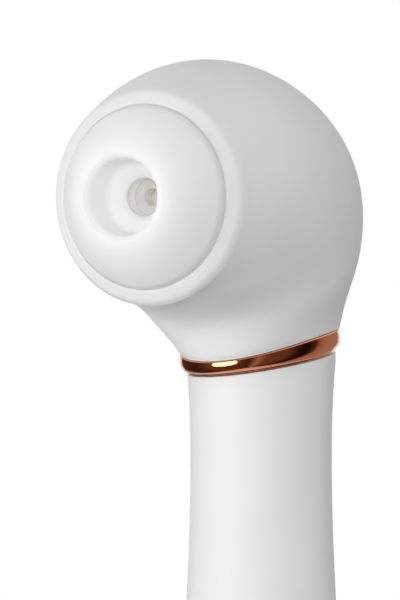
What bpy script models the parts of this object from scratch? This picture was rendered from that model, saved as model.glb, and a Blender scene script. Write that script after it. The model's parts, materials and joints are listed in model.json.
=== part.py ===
"""Handheld suction skin-care wand: a round soft head with a suction cup, on a slim handle.

Units are metres and +Z is up. The handle stands on its flat base at the origin, its axis is +Z,
and the suction cup looks along -Y, pitched a little down. Sizes are written in millimetres with MM.
"""

import math

import bmesh
import bpy
from mathutils import Matrix, Vector

MM = 0.001

# Fits
GAP = 0.3 * MM                   # clearance between pieces that touch or seat in each other
RUN = 0.5 * MM                   # clearance round anything that turns or travels
OVERCUT = 40 * MM                # how far a cutter runs past what it cuts

# Handle
HANDLE_LENGTH = 122.0 * MM       # base to the lower face of the trim ring, on the axis
HANDLE_BASE_R = 15.6 * MM        # radius just above the base
HANDLE_BELLY_R = 16.6 * MM       # widest radius of the grip
HANDLE_BELLY_Z = 30 * MM         # height of that widest place
HANDLE_WAIST_R = 14.45 * MM      # slimmest radius, where two fingers close round it
HANDLE_WAIST_DROP = 24 * MM      # how far the slimmest place lies below the trim ring
HANDLE_FLARE = 2.5               # how late the grip opens out again towards the trim ring
HANDLE_BORE_R = 12.4 * MM        # inside radius of the grip

# Base
BASE_THICKNESS = 2.4 * MM        # thickness of the end cap's foot
BASE_EDGE = 0.9 * MM             # rounding of the foot's lower edge
SPIGOT_LENGTH = 7 * MM           # how far the end cap reaches into the handle
GASKET_THICKNESS = 0.8 * MM
BASE_SCREW_SPACING = 17 * MM     # distance between the two base screws

# Trim ring and neck
TRIM_HEIGHT = 3.4 * MM           # height of the ring, measured up the axis
TRIM_SLOPE = math.radians(18.3)  # the ring leans towards the cup
TRIM_SADDLE = 1.8 * MM           # its upper edge is this much higher at the sides than front and back
TRIM_LEAN = 0.6 * MM             # its upper edge stands this far forward of its lower edge
TRIM_LOWER_R = 15.4 * MM
TRIM_UPPER_R = 16.5 * MM
COUPLER_WALL = 2.2 * MM          # wall of the sleeve that joins handle and head
COUPLER_RISE = 8 * MM            # how far the sleeve reaches above the trim ring
COUPLER_DROP = 9 * MM            # how far it reaches below the trim ring

# Head: two rails in the middle plane, as (y, z) from the centre of the bead
NOZZLE_PITCH = math.radians(-12.9)   # the cup looks slightly down
NOZZLE_HEIGHT = 31.67 * MM           # cup axis above the trim ring, on the handle's axis
NOZZLE_REACH = 47.59 * MM            # handle axis to the bead round the cup
BEAD_HEIGHT = 2.2 * MM               # how far the skin's round shoulder stands in front of the head
BACK_RAIL = ((59.13 * MM, 12.66 * MM), (41.54 * MM, 30.0 * MM), (16.18 * MM, 31.91 * MM))
FRONT_RAIL = ((23.75 * MM, -20.8 * MM), (15.89 * MM, -19.25 * MM), (8.89 * MM, -19.15 * MM))
SKIN_THICKNESS = 2.0 * MM
SHELL_THICKNESS = 1.8 * MM

# Suction cup, as depths along its axis from the bead and radii
CUP_EDGE_DEPTH = 3.97 * MM       # front edge of the side wall
CUP_FOOT_R = 18.3 * MM           # foot of the side wall, inside the bead
CUP_LEAN = 1.2 * MM              # how far the side wall leans in from its foot to its front edge
CUP_CLEARANCE = 0.49 * MM        # between the cup's foot and the bead round it
CUP_EDGE_SOFT = 1.0 * MM         # rounding of that edge
CUP_BACK_DEPTH = -0.6 * MM       # back of the cup, behind the bead
CUP_LIP_DEPTH = 10.45 * MM       # crest of the lip that touches the skin
CUP_LIP_R = 8.5 * MM
CUP_LIP_ROLL = 1.5 * MM          # how far the lip rolls down inside, from its crest to the bowl's wall
CUP_FACE_POWER = 1.6             # 1 makes the face a cone, and more keeps it full near the lip
CUP_MOUTH_R = 7.25 * MM          # bowl, at its rim
CUP_BOWL_DEPTH = 6.45 * MM       # how far below the crest the bowl's wall turns in
CUP_BOWL_DRAW = 0.5 * MM         # how much narrower it is there
CUP_BOWL_SOFT = 1.1 * MM         # rounding between the bowl's wall and its floor
CUP_HOLE_R = 3.67 * MM           # throat at the bottom of the bowl
CUP_HOLE_DEPTH = 1.75 * MM       # where the bowl ends and the throat begins
CUP_FLOOR_DEPTH = -1.31 * MM     # floor of the throat, with the small suction hole in it
CUP_PLUG_R = 7.0 * MM            # plug that seats in the nose plate
CUP_PLUG_LENGTH = 3.2 * MM

# Nose plate and port
NOSE_THICKNESS = 3.2 * MM
NOSE_SCREW_PCD = 27 * MM
FLANGE_THICKNESS = 2.4 * MM      # front wall of the head shells, behind the nose plate
PORT_BORE_R = 1.68 * MM
PORT_FLANGE_R = 10.0 * MM
PORT_FLANGE_THICKNESS = 1.6 * MM
BARB_R = 2.4 * MM
BARB_LENGTH = 3.8 * MM
BARB_SPAN = 0.39 * MM            # free span of the air tube between the two barbs
TUBE_WALL = 1.1 * MM
FILTER_THICKNESS = 1.2 * MM

# Pump and motor, along the cup's axis, behind the port
MOTOR_R = 9.0 * MM
MOTOR_LENGTH = 14.5 * MM
MOTOR_CAP_THICKNESS = 1.9 * MM
SHAFT_R = 1.0 * MM
PUMP_R = 11.5 * MM
PUMP_LENGTH = 8.5 * MM
PUMP_WALL = 1.6 * MM
DIAPHRAGM_THICKNESS = 1.4 * MM
VALVE_THICKNESS = 2.2 * MM
COVER_THICKNESS = 2.6 * MM
ECCENTRIC_R = 3.6 * MM
ECCENTRIC_OFFSET = 1.2 * MM
ECCENTRIC_THICKNESS = 3.0 * MM
RIB_THICKNESS = 1.8 * MM
RIB_REACH = 19 * MM              # outer radius of the motor rib, clear of the neck

# Inside the handle
CHASSIS_THICKNESS = 1.8 * MM
CHASSIS_WIDTH = 18 * MM
CHASSIS_FRONT = 2.9 * MM         # front of the chassis plate, behind the handle's axis
CHASSIS_DISC = 2.4 * MM          # thickness of its end discs
CELL_R = 7.0 * MM
CELL_LENGTH = 50 * MM
CONTACT_THICKNESS = 0.5 * MM
BOARD_THICKNESS = 1.2 * MM
BOARD_WIDTH = 15 * MM
SWITCH_SIZE = 4.6 * MM
SWITCH_HEIGHT = 2.0 * MM
POWER_DROP = 30 * MM             # power button below the trim ring
MODE_DROP = 46 * MM              # mode button below the trim ring
BUTTON_R = 4.2 * MM
BUTTON_FLANGE = 0.9 * MM         # width of the rim that keeps a button in
BUTTON_RIM = 1.0 * MM            # thickness of that rim
BUTTON_TRAVEL = 0.8 * MM
BUTTON_PROUD = 0.5 * MM          # how far a button stands out of the grip
PIPE_R = 1.1 * MM                # light pipe between the buttons
SOCKET_WIDTH = 9.0 * MM
SOCKET_HEIGHT = 3.3 * MM
SOCKET_WALL = 0.35 * MM
SOCKET_DEPTH = 6.5 * MM
SOCKET_Z = 19 * MM               # height of the charging socket
LED_HEIGHT = 1.0 * MM
WIRE_R = 0.5 * MM
LEAD_SPREAD = 2.6 * MM           # the leads run this far each side of the middle
SCREW_SHANK_R = 0.9 * MM
SCREW_HEAD_R = 1.8 * MM
SCREW_HEAD_HEIGHT = 1.2 * MM
SCREW_LENGTH = 5.0 * MM

# Facets
ROUND = 36                       # sides of large round pieces
SMALL_ROUND = 16                 # sides of small round pieces
SECTIONS = 13                    # sections of the head
FACE_STEPS = 6                   # steps down the cup's round face
NECK_BLEND = 0.2                 # share of the head over which the slanted neck turns round
GRIP_STEPS = 12                  # heights at which the grip is turned
LEAD_POINTS = 18                 # points along a lead

# Places worked out from the sizes above
TRIM_TOP = HANDLE_LENGTH + TRIM_HEIGHT
NOZZLE_Z = TRIM_TOP + NOZZLE_HEIGHT
SLOPE = math.tan(TRIM_SLOPE)
SHELL_OFFSET = SKIN_THICKNESS + GAP
CORE_OFFSET = SHELL_OFFSET + SHELL_THICKNESS / 2
SHELL_INSIDE = SHELL_OFFSET + SHELL_THICKNESS
CUP_EDGE_R = CUP_FOOT_R - CUP_LEAN
BEAD_R = CUP_FOOT_R + CUP_CLEARANCE + SKIN_THICKNESS
NOSE_FRONT = NOZZLE_REACH + CUP_BACK_DEPTH - GAP
NOSE_BACK = NOSE_FRONT - NOSE_THICKNESS
FLANGE_FRONT = NOSE_BACK - GAP
FLANGE_BACK = FLANGE_FRONT - FLANGE_THICKNESS
PORT_FLANGE_FRONT = FLANGE_BACK - GAP
PORT_FLANGE_BACK = PORT_FLANGE_FRONT - PORT_FLANGE_THICKNESS
COVER_FRONT = PORT_FLANGE_BACK - 2 * BARB_LENGTH - BARB_SPAN
COVER_BACK = COVER_FRONT - COVER_THICKNESS
VALVE_BACK = COVER_BACK - GAP - VALVE_THICKNESS
DIAPHRAGM_BACK = VALVE_BACK - GAP - DIAPHRAGM_THICKNESS
PUMP_FRONT = DIAPHRAGM_BACK - GAP
PUMP_BACK = PUMP_FRONT - PUMP_LENGTH
MOTOR_FRONT = PUMP_BACK - GAP
MOTOR_BACK = MOTOR_FRONT - MOTOR_LENGTH
HANDLE_BOTTOM = BASE_THICKNESS + GASKET_THICKNESS + 2 * GAP
CHASSIS_BOTTOM = BASE_THICKNESS + SPIGOT_LENGTH + GAP
COUPLER_R = TRIM_UPPER_R - SHELL_INSIDE - TRIM_LEAN - GAP
COUPLER_TOP = TRIM_TOP + COUPLER_RISE
COUPLER_BOTTOM = HANDLE_LENGTH - COUPLER_DROP
CHASSIS_TOP = COUPLER_BOTTOM - GAP
CHASSIS_BACK = CHASSIS_FRONT + CHASSIS_THICKNESS
BOARD_FRONT = CHASSIS_BACK + GAP
BOARD_BACK = BOARD_FRONT + BOARD_THICKNESS
SWITCH_FRONT = BOARD_BACK + GAP
SWITCH_TOP = SWITCH_FRONT + SWITCH_HEIGHT
BUTTON_SEAT = SWITCH_TOP + BUTTON_TRAVEL + GAP
POWER_Z = HANDLE_LENGTH - POWER_DROP
MODE_Z = HANDLE_LENGTH - MODE_DROP
PIPE_Z = (POWER_Z + MODE_Z) / 2


def collection(name: str, cutters: bool = False) -> bpy.types.Collection:
    """Makes a collection under the scene's own; one of cutters is kept out of renders."""
    made = bpy.data.collections.new(name)
    made.hide_render = cutters
    bpy.context.scene.collection.children.link(made)
    return made


def clear_scene() -> None:
    """Removes what the file opened with."""
    for item in list(bpy.data.objects):
        bpy.data.objects.remove(item, do_unlink=True)


clear_scene()
PARTS = collection("suction_wand")
CUTTERS = collection("suction_wand_cutters", cutters=True)


def finish(name: str, color: tuple, roughness: float, metallic: float = 0.0) -> bpy.types.Material:
    """Makes one part's material from its colour, roughness and metallic value."""
    made = bpy.data.materials.new(name + "_finish")
    made.use_nodes = True
    shader = made.node_tree.nodes["Principled BSDF"]
    shader.inputs["Base Color"].default_value = (*color, 1.0)
    shader.inputs["Roughness"].default_value = roughness
    shader.inputs["Metallic"].default_value = metallic
    return made


WHITE_SOFT = ((0.80, 0.79, 0.78), 0.55)
WHITE_HARD = ((0.82, 0.82, 0.81), 0.35)
GREY_HARD = ((0.55, 0.56, 0.57), 0.45)
DARK_HARD = ((0.06, 0.06, 0.07), 0.50)
CLEAR_SOFT = ((0.75, 0.76, 0.74), 0.30)
ROSE_METAL = ((0.72, 0.40, 0.30), 0.12, 1.0)
STEEL = ((0.60, 0.60, 0.61), 0.30, 1.0)
BRASS = ((0.72, 0.55, 0.25), 0.35, 1.0)
BOARD_GREEN = ((0.03, 0.22, 0.10), 0.45)
CELL_BLUE = ((0.10, 0.22, 0.45), 0.40)
RED_WIRE = ((0.55, 0.03, 0.03), 0.50)
BLACK_WIRE = ((0.02, 0.02, 0.02), 0.50)
FELT = ((0.86, 0.85, 0.80), 0.90)


def frame_empty(name: str, matrix: Matrix) -> bpy.types.Object:
    """Makes an empty that parts are placed from.

    Args:
        name: the empty's name.
        matrix: its place in the world.
    """
    made = bpy.data.objects.new(name, None)
    PARTS.objects.link(made)
    made.matrix_world = matrix
    return made


# The cup's frame: origin where its axis meets the handle's, +Z out of the cup, +Y up
NOZZLE_TURN = Matrix.Rotation(math.pi / 2 - NOZZLE_PITCH, 4, "X")
NOZZLE = frame_empty("nozzle_frame", Matrix.Translation((0, 0, NOZZLE_Z)) @ NOZZLE_TURN)


def add(name: str, mesh: bpy.types.Mesh, look: tuple | None, parent=None) -> bpy.types.Object:
    """Adds a mesh as a part, or as a hidden cutter when it has no look."""
    made = bpy.data.objects.new(name, mesh)
    made.parent = parent
    if look is None:
        CUTTERS.objects.link(made)
        made.hide_render = True
        made.display_type = "WIRE"
        return made
    PARTS.objects.link(made)
    made.data.materials.append(finish(name, *look))
    return made


def mesh_of(name: str, work: bmesh.types.BMesh) -> bpy.types.Mesh:
    """Turns a bmesh into a mesh with its faces pointing out and its round sides smooth."""
    bmesh.ops.recalc_face_normals(work, faces=work.faces)
    mesh = bpy.data.meshes.new(name)
    work.to_mesh(mesh)
    work.free()
    mesh.shade_smooth()
    mesh.set_sharp_from_angle(angle=math.radians(35))
    return mesh


def turned(name: str, outline: list, look: tuple | None, parent=NOZZLE, steps: int = ROUND):
    """Turns a closed outline about the local Z axis with a Screw modifier.

    Args:
        name: the part's name.
        outline: (radius, height) points, down the outer side and back up the inner side. A point
            at radius 0 lies on the axis.
        look: colour, roughness and metallic value, or None for a cutter.
        parent: the empty that it is placed from.
        steps: its number of sides.
    """
    mesh = bpy.data.meshes.new(name)
    solid = outline[0][0] == 0
    count = len(outline)
    edges = [(i, i + 1) for i in range(count - 1)]
    if not solid:
        edges.append((count - 1, 0))
    mesh.from_pydata([(r, 0, z) for r, z in outline], edges, [])
    made = add(name, mesh, look, parent)
    screw = made.modifiers.new("turn", "SCREW")
    screw.steps = steps
    screw.render_steps = steps
    screw.use_merge_vertices = True
    screw.merge_threshold = 0.00001
    return made


def tube(name: str, outer: float, inner: float, low: float, high: float, look, parent=NOZZLE, steps=ROUND):
    """Turns a plain ring, or a plain disc where the inner radius is 0."""
    if inner == 0:
        outline = [(0, high), (outer, high), (outer, low), (0, low)]
    else:
        outline = [(outer, high), (outer, low), (inner, low), (inner, high)]
    return turned(name, outline, look, parent, steps)


def box(name: str, low: tuple, high: tuple, look, parent=None):
    """Makes a box between two corners."""
    work = bmesh.new()
    size = [high[i] - low[i] for i in range(3)]
    middle = [(high[i] + low[i]) / 2 for i in range(3)]
    placed = Matrix.Translation(middle) @ Matrix.Diagonal((*size, 1))
    bmesh.ops.create_cube(work, size=1, matrix=placed)
    return add(name, mesh_of(name, work), look, parent)


def rod(name: str, start: tuple, end: tuple, radius: float, look=None, parent=None, steps=SMALL_ROUND):
    """Makes a cylinder between two points."""
    work = bmesh.new()
    way = Vector(end) - Vector(start)
    turn = way.to_track_quat("Z", "Y").to_matrix().to_4x4()
    place = Matrix.Translation((Vector(start) + Vector(end)) / 2) @ turn
    bmesh.ops.create_cone(work, cap_ends=True, segments=steps, radius1=radius, radius2=radius,
                          depth=way.length, matrix=place)
    return add(name, mesh_of(name, work), look, parent)


def combine(target, operation: str, *others, solver: str = "EXACT") -> None:
    """Adds Boolean modifiers: each of the others is cut from, joined to or kept within the target.

    Args:
        target: the part that changes.
        operation: DIFFERENCE, UNION or INTERSECT.
        others: closed meshes.
        solver: MANIFOLD where many thin slivers make EXACT leave an edge open.
    """
    for other in others:
        step = target.modifiers.new(operation.lower(), "BOOLEAN")
        step.operation = operation
        step.solver = solver
        step.object = other


def smooth_path(points: list, share: float):
    """Gives the point at a share of the way along a smooth curve through the points."""
    spans = len(points) - 1
    index = min(int(share * spans), spans - 1)
    t = share * spans - index
    a = points[index]
    b = points[index + 1]
    before = points[index - 1] if index > 0 else a * 2 - b
    after = points[index + 2] if index + 2 <= spans else b * 2 - a
    slope = (b - before) / 2
    square = before - a * 2.5 + b * 2 - after / 2
    cubic = (after - before) / 2 + (a - b) * 1.5
    return a + slope * t + square * t ** 2 + cubic * t ** 3


def nozzle_point(depth: float, up: float) -> Vector:
    """Gives (y, z) in the trim ring's frame for a depth along the cup's axis and a height off it."""
    out = Vector((-math.cos(NOZZLE_PITCH), math.sin(NOZZLE_PITCH)))
    rise = Vector((math.sin(NOZZLE_PITCH), math.cos(NOZZLE_PITCH)))
    return Vector((0, NOZZLE_HEIGHT)) + out * depth + rise * up


def head_rings(offset: float) -> list:
    """Gives the head's sections, from the neck to the bead, drawn in from the outside by an offset.

    Each section is an oval whose long axis runs from the front rail to the back rail. At the neck it
    is the slanted cut through the round trim ring, and at the bead it is a circle.
    """
    neck = Vector((TRIM_UPPER_R, TRIM_UPPER_R * SLOPE))
    seat = Vector((-TRIM_LEAN, GAP))
    bead = nozzle_point(NOZZLE_REACH, 0)
    back = [seat + neck, *(bead + Vector(p) for p in BACK_RAIL), nozzle_point(NOZZLE_REACH, BEAD_R)]
    front = [seat - neck, *(bead + Vector(p) for p in FRONT_RAIL), nozzle_point(NOZZLE_REACH, -BEAD_R)]
    rings = []
    for i in range(SECTIONS):
        share = i / (SECTIONS - 1)
        top = smooth_path(back, share)
        low = smooth_path(front, share)
        middle = (top + low) / 2
        half = (top - low).length / 2
        way = (top - low).normalized()
        slant = max(0.0, 1 - share / NECK_BLEND)
        wide = half * (1 - slant * (1 - math.cos(TRIM_SLOPE)))
        rings.append(ring(middle, way, half - offset, wide - offset, slant))
    return rings


def saddle(angle: float) -> float:
    """Gives how far the trim ring's upper edge rises above its plane, at an angle round the neck."""
    return TRIM_SADDLE * (math.cos(angle) ** 2 - 1 / 3)


def ring(middle: Vector, way: Vector, half: float, wide: float, slant: float = 0.0) -> list:
    """Gives the points round one oval section, in the world.

    Args:
        middle: its centre, as (y, z) in the trim ring's frame.
        way: the direction of its long axis there.
        half: half its long axis.
        wide: half its width along X.
        slant: share of the trim ring's saddle that it takes, 1 at the neck.
    """
    points = []
    for j in range(ROUND):
        angle = 2 * math.pi * j / ROUND
        off = middle + way * (half * math.sin(angle))
        points.append(Vector((wide * math.cos(angle), off.x, TRIM_TOP + off.y + slant * saddle(angle))))
    return points


def loft(name: str, rings: list, look, closed: bool) -> bpy.types.Object:
    """Joins rings of points into one skin.

    Args:
        name: the part's name.
        rings: rings with equal numbers of points.
        look: colour, roughness and metallic value, or None for a cutter.
        closed: True joins the last ring to the first, and False caps both ends.
    """
    work = bmesh.new()
    rows = [[work.verts.new(point) for point in points] for points in rings]
    pairs = list(zip(rows, rows[1:]))
    if closed:
        pairs.append((rows[-1], rows[0]))
    else:
        work.faces.new(rows[0])
        work.faces.new(rows[-1])
    for one, two in pairs:
        for j in range(ROUND):
            after = (j + 1) % ROUND
            work.faces.new((one[j], one[after], two[after], two[j]))
    bmesh.ops.triangulate(work, faces=work.faces)
    return add(name, mesh_of(name, work), look)


def bead_rings() -> list:
    """Gives the bead that ends the skin, as rings round the cup's axis from outside to inside.

    Each step is a share of the bead's height, and of the skin's thickness from the outside.
    """
    way = nozzle_point(0, 1) - nozzle_point(0, 0)
    rings = []
    for rise, inwards in ((0.28, 0.14), (0.55, 0.33), (0.78, 0.58), (1.0, 0.87), (0.86, 1.0)):
        r = BEAD_R - inwards * SKIN_THICKNESS
        rings.append(ring(nozzle_point(NOZZLE_REACH + rise * BEAD_HEIGHT, 0), way, r, r))
    return rings


def build_head() -> None:
    """Soft skin, and the two hard half shells inside it with their ribs and front wall."""
    skin = head_rings(0) + bead_rings() + head_rings(SKIN_THICKNESS)[::-1]
    loft("head_skin", skin, WHITE_SOFT, closed=True)

    core = loft("shell_core", head_rings(CORE_OFFSET), None, closed=False)
    front = tube("front_cut", BEAD_R + OVERCUT, 0, FLANGE_FRONT, FLANGE_FRONT + OVERCUT, None)
    walls = (
        ("motor_rib", MOTOR_BACK + MOTOR_LENGTH * 0.4, RIB_THICKNESS, MOTOR_R + GAP, RIB_REACH),
        ("pump_rib", PUMP_BACK + PUMP_LENGTH * 0.5, RIB_THICKNESS, PUMP_R + GAP, BEAD_R + OVERCUT),
        ("front_wall", FLANGE_BACK, FLANGE_THICKNESS + GAP, CUP_PLUG_R + GAP, BEAD_R + OVERCUT),
    )
    neck_room = tube("neck_room", COUPLER_R + RUN, 0, COUPLER_BOTTOM, COUPLER_TOP + RUN, None, None)
    ribs = []
    for name, back, thickness, hole, reach in walls:
        rib = tube(name, reach, hole, back, back + thickness, None)
        combine(rib, "INTERSECT", core, solver="MANIFOLD")
        combine(rib, "DIFFERENCE", neck_room, solver="MANIFOLD")
        ribs.append(rib)
    holes = []
    for name, x, y in nose_screw_places():
        start = (x, y, FLANGE_BACK - GAP)
        end = (x, y, FLANGE_FRONT + GAP)
        holes.append(rod(name + "_bore", start, end, SCREW_SHANK_R + GAP, None, NOZZLE))
    for side, sign in (("left", -1), ("right", 1)):
        wall = head_rings(SHELL_OFFSET) + head_rings(SHELL_INSIDE)[::-1]
        shell = loft("head_shell_" + side, wall, WHITE_HARD, closed=True)
        combine(shell, "UNION", *ribs, solver="MANIFOLD")
        low = -OVERCUT * 2
        near = sorted((sign * GAP / 2, sign * OVERCUT * 2))
        half = box(side + "_half", (near[0], low, 0), (near[1], -low, TRIM_TOP + 3 * OVERCUT), None)
        combine(shell, "DIFFERENCE", front, *holes, solver="MANIFOLD")
        combine(shell, "INTERSECT", half, solver="MANIFOLD")


def nose_screw_places() -> list:
    """Gives the name and place of each screw round the cup's axis."""
    places = []
    for i in range(4):
        angle = math.radians(45 + 90 * i)
        r = NOSE_SCREW_PCD / 2
        places.append((f"nose_screw_{i + 1}", r * math.cos(angle), r * math.sin(angle)))
    return places


def screw(name: str, matrix: Matrix, parent=None, length: float = SCREW_LENGTH):
    """Makes a pan-head screw with a driver socket, its head's underside at the local origin."""
    socket_r = SCREW_HEAD_R * 0.45
    top = SCREW_HEAD_HEIGHT
    outline = [(0, top / 2), (socket_r, top / 2), (socket_r, top), (SCREW_HEAD_R * 0.8, top),
               (SCREW_HEAD_R, top * 0.5), (SCREW_HEAD_R, 0), (SCREW_SHANK_R, 0), (SCREW_SHANK_R, -length),
               (0, -length)]
    made = turned(name, outline, STEEL, parent, SMALL_ROUND // 2)
    made.matrix_local = matrix
    return made


def soft_corner(before: tuple, corner: tuple, after: tuple, reach: float) -> list:
    """Gives three points that round a corner of an outline.

    Args:
        before: the point before the corner.
        corner: the sharp corner.
        after: the point after it.
        reach: how far from the corner the rounding starts and ends.
    """
    tip = Vector(corner)
    start = tip + (Vector(before) - tip).normalized() * reach
    end = tip + (Vector(after) - tip).normalized() * reach
    return [tuple(point) for point in (start, (start + end) / 4 + tip / 2, end)]


def cup_face(lip: float, edge: float) -> list:
    """Gives the cup's round face, from the crest of its lip to its front edge."""
    points = []
    for step in range(FACE_STEPS + 1):
        share = step / FACE_STEPS
        r = CUP_LIP_R + (CUP_EDGE_R - CUP_LIP_R) * share
        points.append((r, lip - (lip - edge) * share ** CUP_FACE_POWER))
    return points


def build_nose() -> None:
    """Nose plate, port, seal, filter and the removable suction cup, all on the cup's axis."""
    plate = tube("nose_plate", CUP_FOOT_R, CUP_PLUG_R + GAP, NOSE_BACK, NOSE_FRONT, WHITE_HARD)
    seat = NOSE_FRONT - SCREW_HEAD_HEIGHT - GAP
    for name, x, y in nose_screw_places():
        shank = rod(name + "_hole", (x, y, NOSE_BACK - GAP), (x, y, NOSE_FRONT + GAP), SCREW_SHANK_R + GAP,
                    None, NOZZLE)
        sink = rod(name + "_sink", (x, y, seat), (x, y, NOSE_FRONT + GAP), SCREW_HEAD_R + GAP, None, NOZZLE)
        combine(plate, "DIFFERENCE", shank, sink)
        screw(name, Matrix.Translation((x, y, seat + GAP)), NOZZLE, seat - FLANGE_BACK)

    plug_back = NOSE_FRONT - CUP_PLUG_LENGTH
    front = NOZZLE_REACH
    lip = front + CUP_LIP_DEPTH
    edge = front + CUP_EDGE_DEPTH
    foot = front + BEAD_HEIGHT * 0.9
    back = front + CUP_BACK_DEPTH
    face = cup_face(lip, edge)
    foot_corner = (CUP_FOOT_R, foot)
    throat_edge = (CUP_HOLE_R, front + CUP_HOLE_DEPTH)
    rim = (CUP_MOUTH_R, lip - CUP_LIP_ROLL)
    bowl_corner = (CUP_MOUTH_R - CUP_BOWL_DRAW, lip - CUP_BOWL_DEPTH)
    quarter = math.sqrt(0.5)
    outline = [
        *face[:-1],
        *soft_corner(face[-2], face[-1], foot_corner, CUP_EDGE_SOFT),
        foot_corner,
        (CUP_FOOT_R, back),
        (CUP_PLUG_R, back),
        (CUP_PLUG_R, plug_back),
        (PORT_BORE_R, plug_back),
        (PORT_BORE_R, front + CUP_FLOOR_DEPTH),
        (CUP_HOLE_R, front + CUP_FLOOR_DEPTH),
        throat_edge,
        *soft_corner(throat_edge, bowl_corner, rim, CUP_BOWL_SOFT),
        rim,
        (CUP_LIP_R - (CUP_LIP_R - CUP_MOUTH_R) * quarter, lip - CUP_LIP_ROLL * (1 - quarter)),
    ]
    turned("suction_cup", outline, WHITE_SOFT)

    barb_back = PORT_FLANGE_BACK - BARB_LENGTH
    stem = plug_back - GAP - FILTER_THICKNESS - GAP
    outline = [
        (CUP_HOLE_R, stem),
        (CUP_HOLE_R, PORT_FLANGE_FRONT),
        (PORT_FLANGE_R, PORT_FLANGE_FRONT),
        (PORT_FLANGE_R, PORT_FLANGE_BACK),
        (BARB_R, PORT_FLANGE_BACK),
        (BARB_R, barb_back),
        (PORT_BORE_R, barb_back),
        (PORT_BORE_R, stem),
    ]
    turned("suction_port", outline, GREY_HARD, steps=SMALL_ROUND)
    filter_back = stem + GAP
    tube("port_filter", CUP_PLUG_R - GAP, 0, filter_back, filter_back + FILTER_THICKNESS, FELT)
    seal_back = PORT_FLANGE_FRONT + GAP
    tube("port_seal", CUP_PLUG_R, CUP_HOLE_R + GAP, seal_back, stem, DARK_HARD, steps=SMALL_ROUND)
    inner = BARB_R + GAP
    outer = inner + TUBE_WALL
    tube("air_tube", outer, inner, COVER_FRONT + GAP, PORT_FLANGE_BACK - GAP, CLEAR_SOFT, steps=SMALL_ROUND)


def build_pump() -> None:
    """Diaphragm pump and its motor, clamped between the head shells on the cup's axis."""
    shaft_hole = SHAFT_R + GAP
    tube("motor_can", MOTOR_R, shaft_hole, MOTOR_BACK, MOTOR_FRONT, STEEL)
    cap_back = MOTOR_BACK - GAP - MOTOR_CAP_THICKNESS
    tube("motor_cap", MOTOR_R - GAP, shaft_hole, cap_back, MOTOR_BACK - GAP, DARK_HARD)
    floor = PUMP_BACK + PUMP_WALL
    eccentric_back = floor + RUN
    shaft_front = eccentric_back + ECCENTRIC_THICKNESS + GAP
    tube("motor_shaft", SHAFT_R, 0, MOTOR_BACK - GAP, shaft_front, STEEL, steps=SMALL_ROUND)

    hole = shaft_hole + GAP
    inside = PUMP_R - PUMP_WALL
    outline = [(PUMP_R, PUMP_FRONT), (PUMP_R, PUMP_BACK), (hole, PUMP_BACK), (hole, floor), (inside, floor),
               (inside, PUMP_FRONT)]
    turned("pump_body", outline, GREY_HARD)
    add_eccentric(eccentric_back)
    swing = ECCENTRIC_R + ECCENTRIC_OFFSET + RUN
    plate_front = PUMP_FRONT - RUN
    tube("wobble_plate", PUMP_R - PUMP_WALL - RUN, swing, eccentric_back + 0.5 * MM, plate_front, WHITE_HARD)
    tube("pump_diaphragm", PUMP_R, 0, DIAPHRAGM_BACK, DIAPHRAGM_BACK + DIAPHRAGM_THICKNESS, DARK_HARD)
    tube("valve_plate", PUMP_R, 0.9 * MM, VALVE_BACK, VALVE_BACK + VALVE_THICKNESS, WHITE_HARD)
    nipple = COVER_FRONT + BARB_LENGTH
    outline = [(BARB_R, nipple), (BARB_R, COVER_FRONT), (PUMP_R, COVER_FRONT), (PUMP_R, COVER_BACK),
               (PORT_BORE_R, COVER_BACK), (PORT_BORE_R, nipple)]
    turned("pump_cover", outline, GREY_HARD)


def add_eccentric(back: float) -> None:
    """Makes the eccentric: a round disc whose bore sits off its middle, on the motor's shaft."""
    disc = rod("eccentric", (0, ECCENTRIC_OFFSET, back), (0, ECCENTRIC_OFFSET, back + ECCENTRIC_THICKNESS),
               ECCENTRIC_R, BRASS, NOZZLE)
    bore = rod("eccentric_bore", (0, 0, back - GAP), (0, 0, back + ECCENTRIC_THICKNESS + GAP), SHAFT_R + GAP,
               None, NOZZLE)
    combine(disc, "DIFFERENCE", bore)


def grip_radius(z: float) -> float:
    """Gives the grip's outer radius at a height: narrow foot, fuller belly, waist, then the trim ring."""
    waist_z = HANDLE_LENGTH - HANDLE_WAIST_DROP
    if z < HANDLE_BELLY_Z:
        share = (HANDLE_BELLY_Z - z) / HANDLE_BELLY_Z
        return HANDLE_BELLY_R - (HANDLE_BELLY_R - HANDLE_BASE_R) * share ** 2
    if z < waist_z:
        share = (z - HANDLE_BELLY_Z) / (waist_z - HANDLE_BELLY_Z)
        return HANDLE_BELLY_R + (HANDLE_WAIST_R - HANDLE_BELLY_R) * share ** 2 * (3 - 2 * share)
    share = min(1.0, (z - waist_z) / HANDLE_WAIST_DROP)
    return HANDLE_WAIST_R + (TRIM_LOWER_R - HANDLE_WAIST_R) * share ** HANDLE_FLARE


def slanted_ring(radius: float, height: float) -> list:
    """Gives a ring of the trim at a height above its lower edge, with the lean and saddle it has there."""
    share = height / TRIM_HEIGHT
    points = []
    for j in range(ROUND):
        angle = 2 * math.pi * j / ROUND
        y = radius * math.sin(angle)
        z = HANDLE_LENGTH + height + y * SLOPE + share * saddle(angle)
        points.append(Vector((radius * math.cos(angle), y - share * TRIM_LEAN, z)))
    return points


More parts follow.
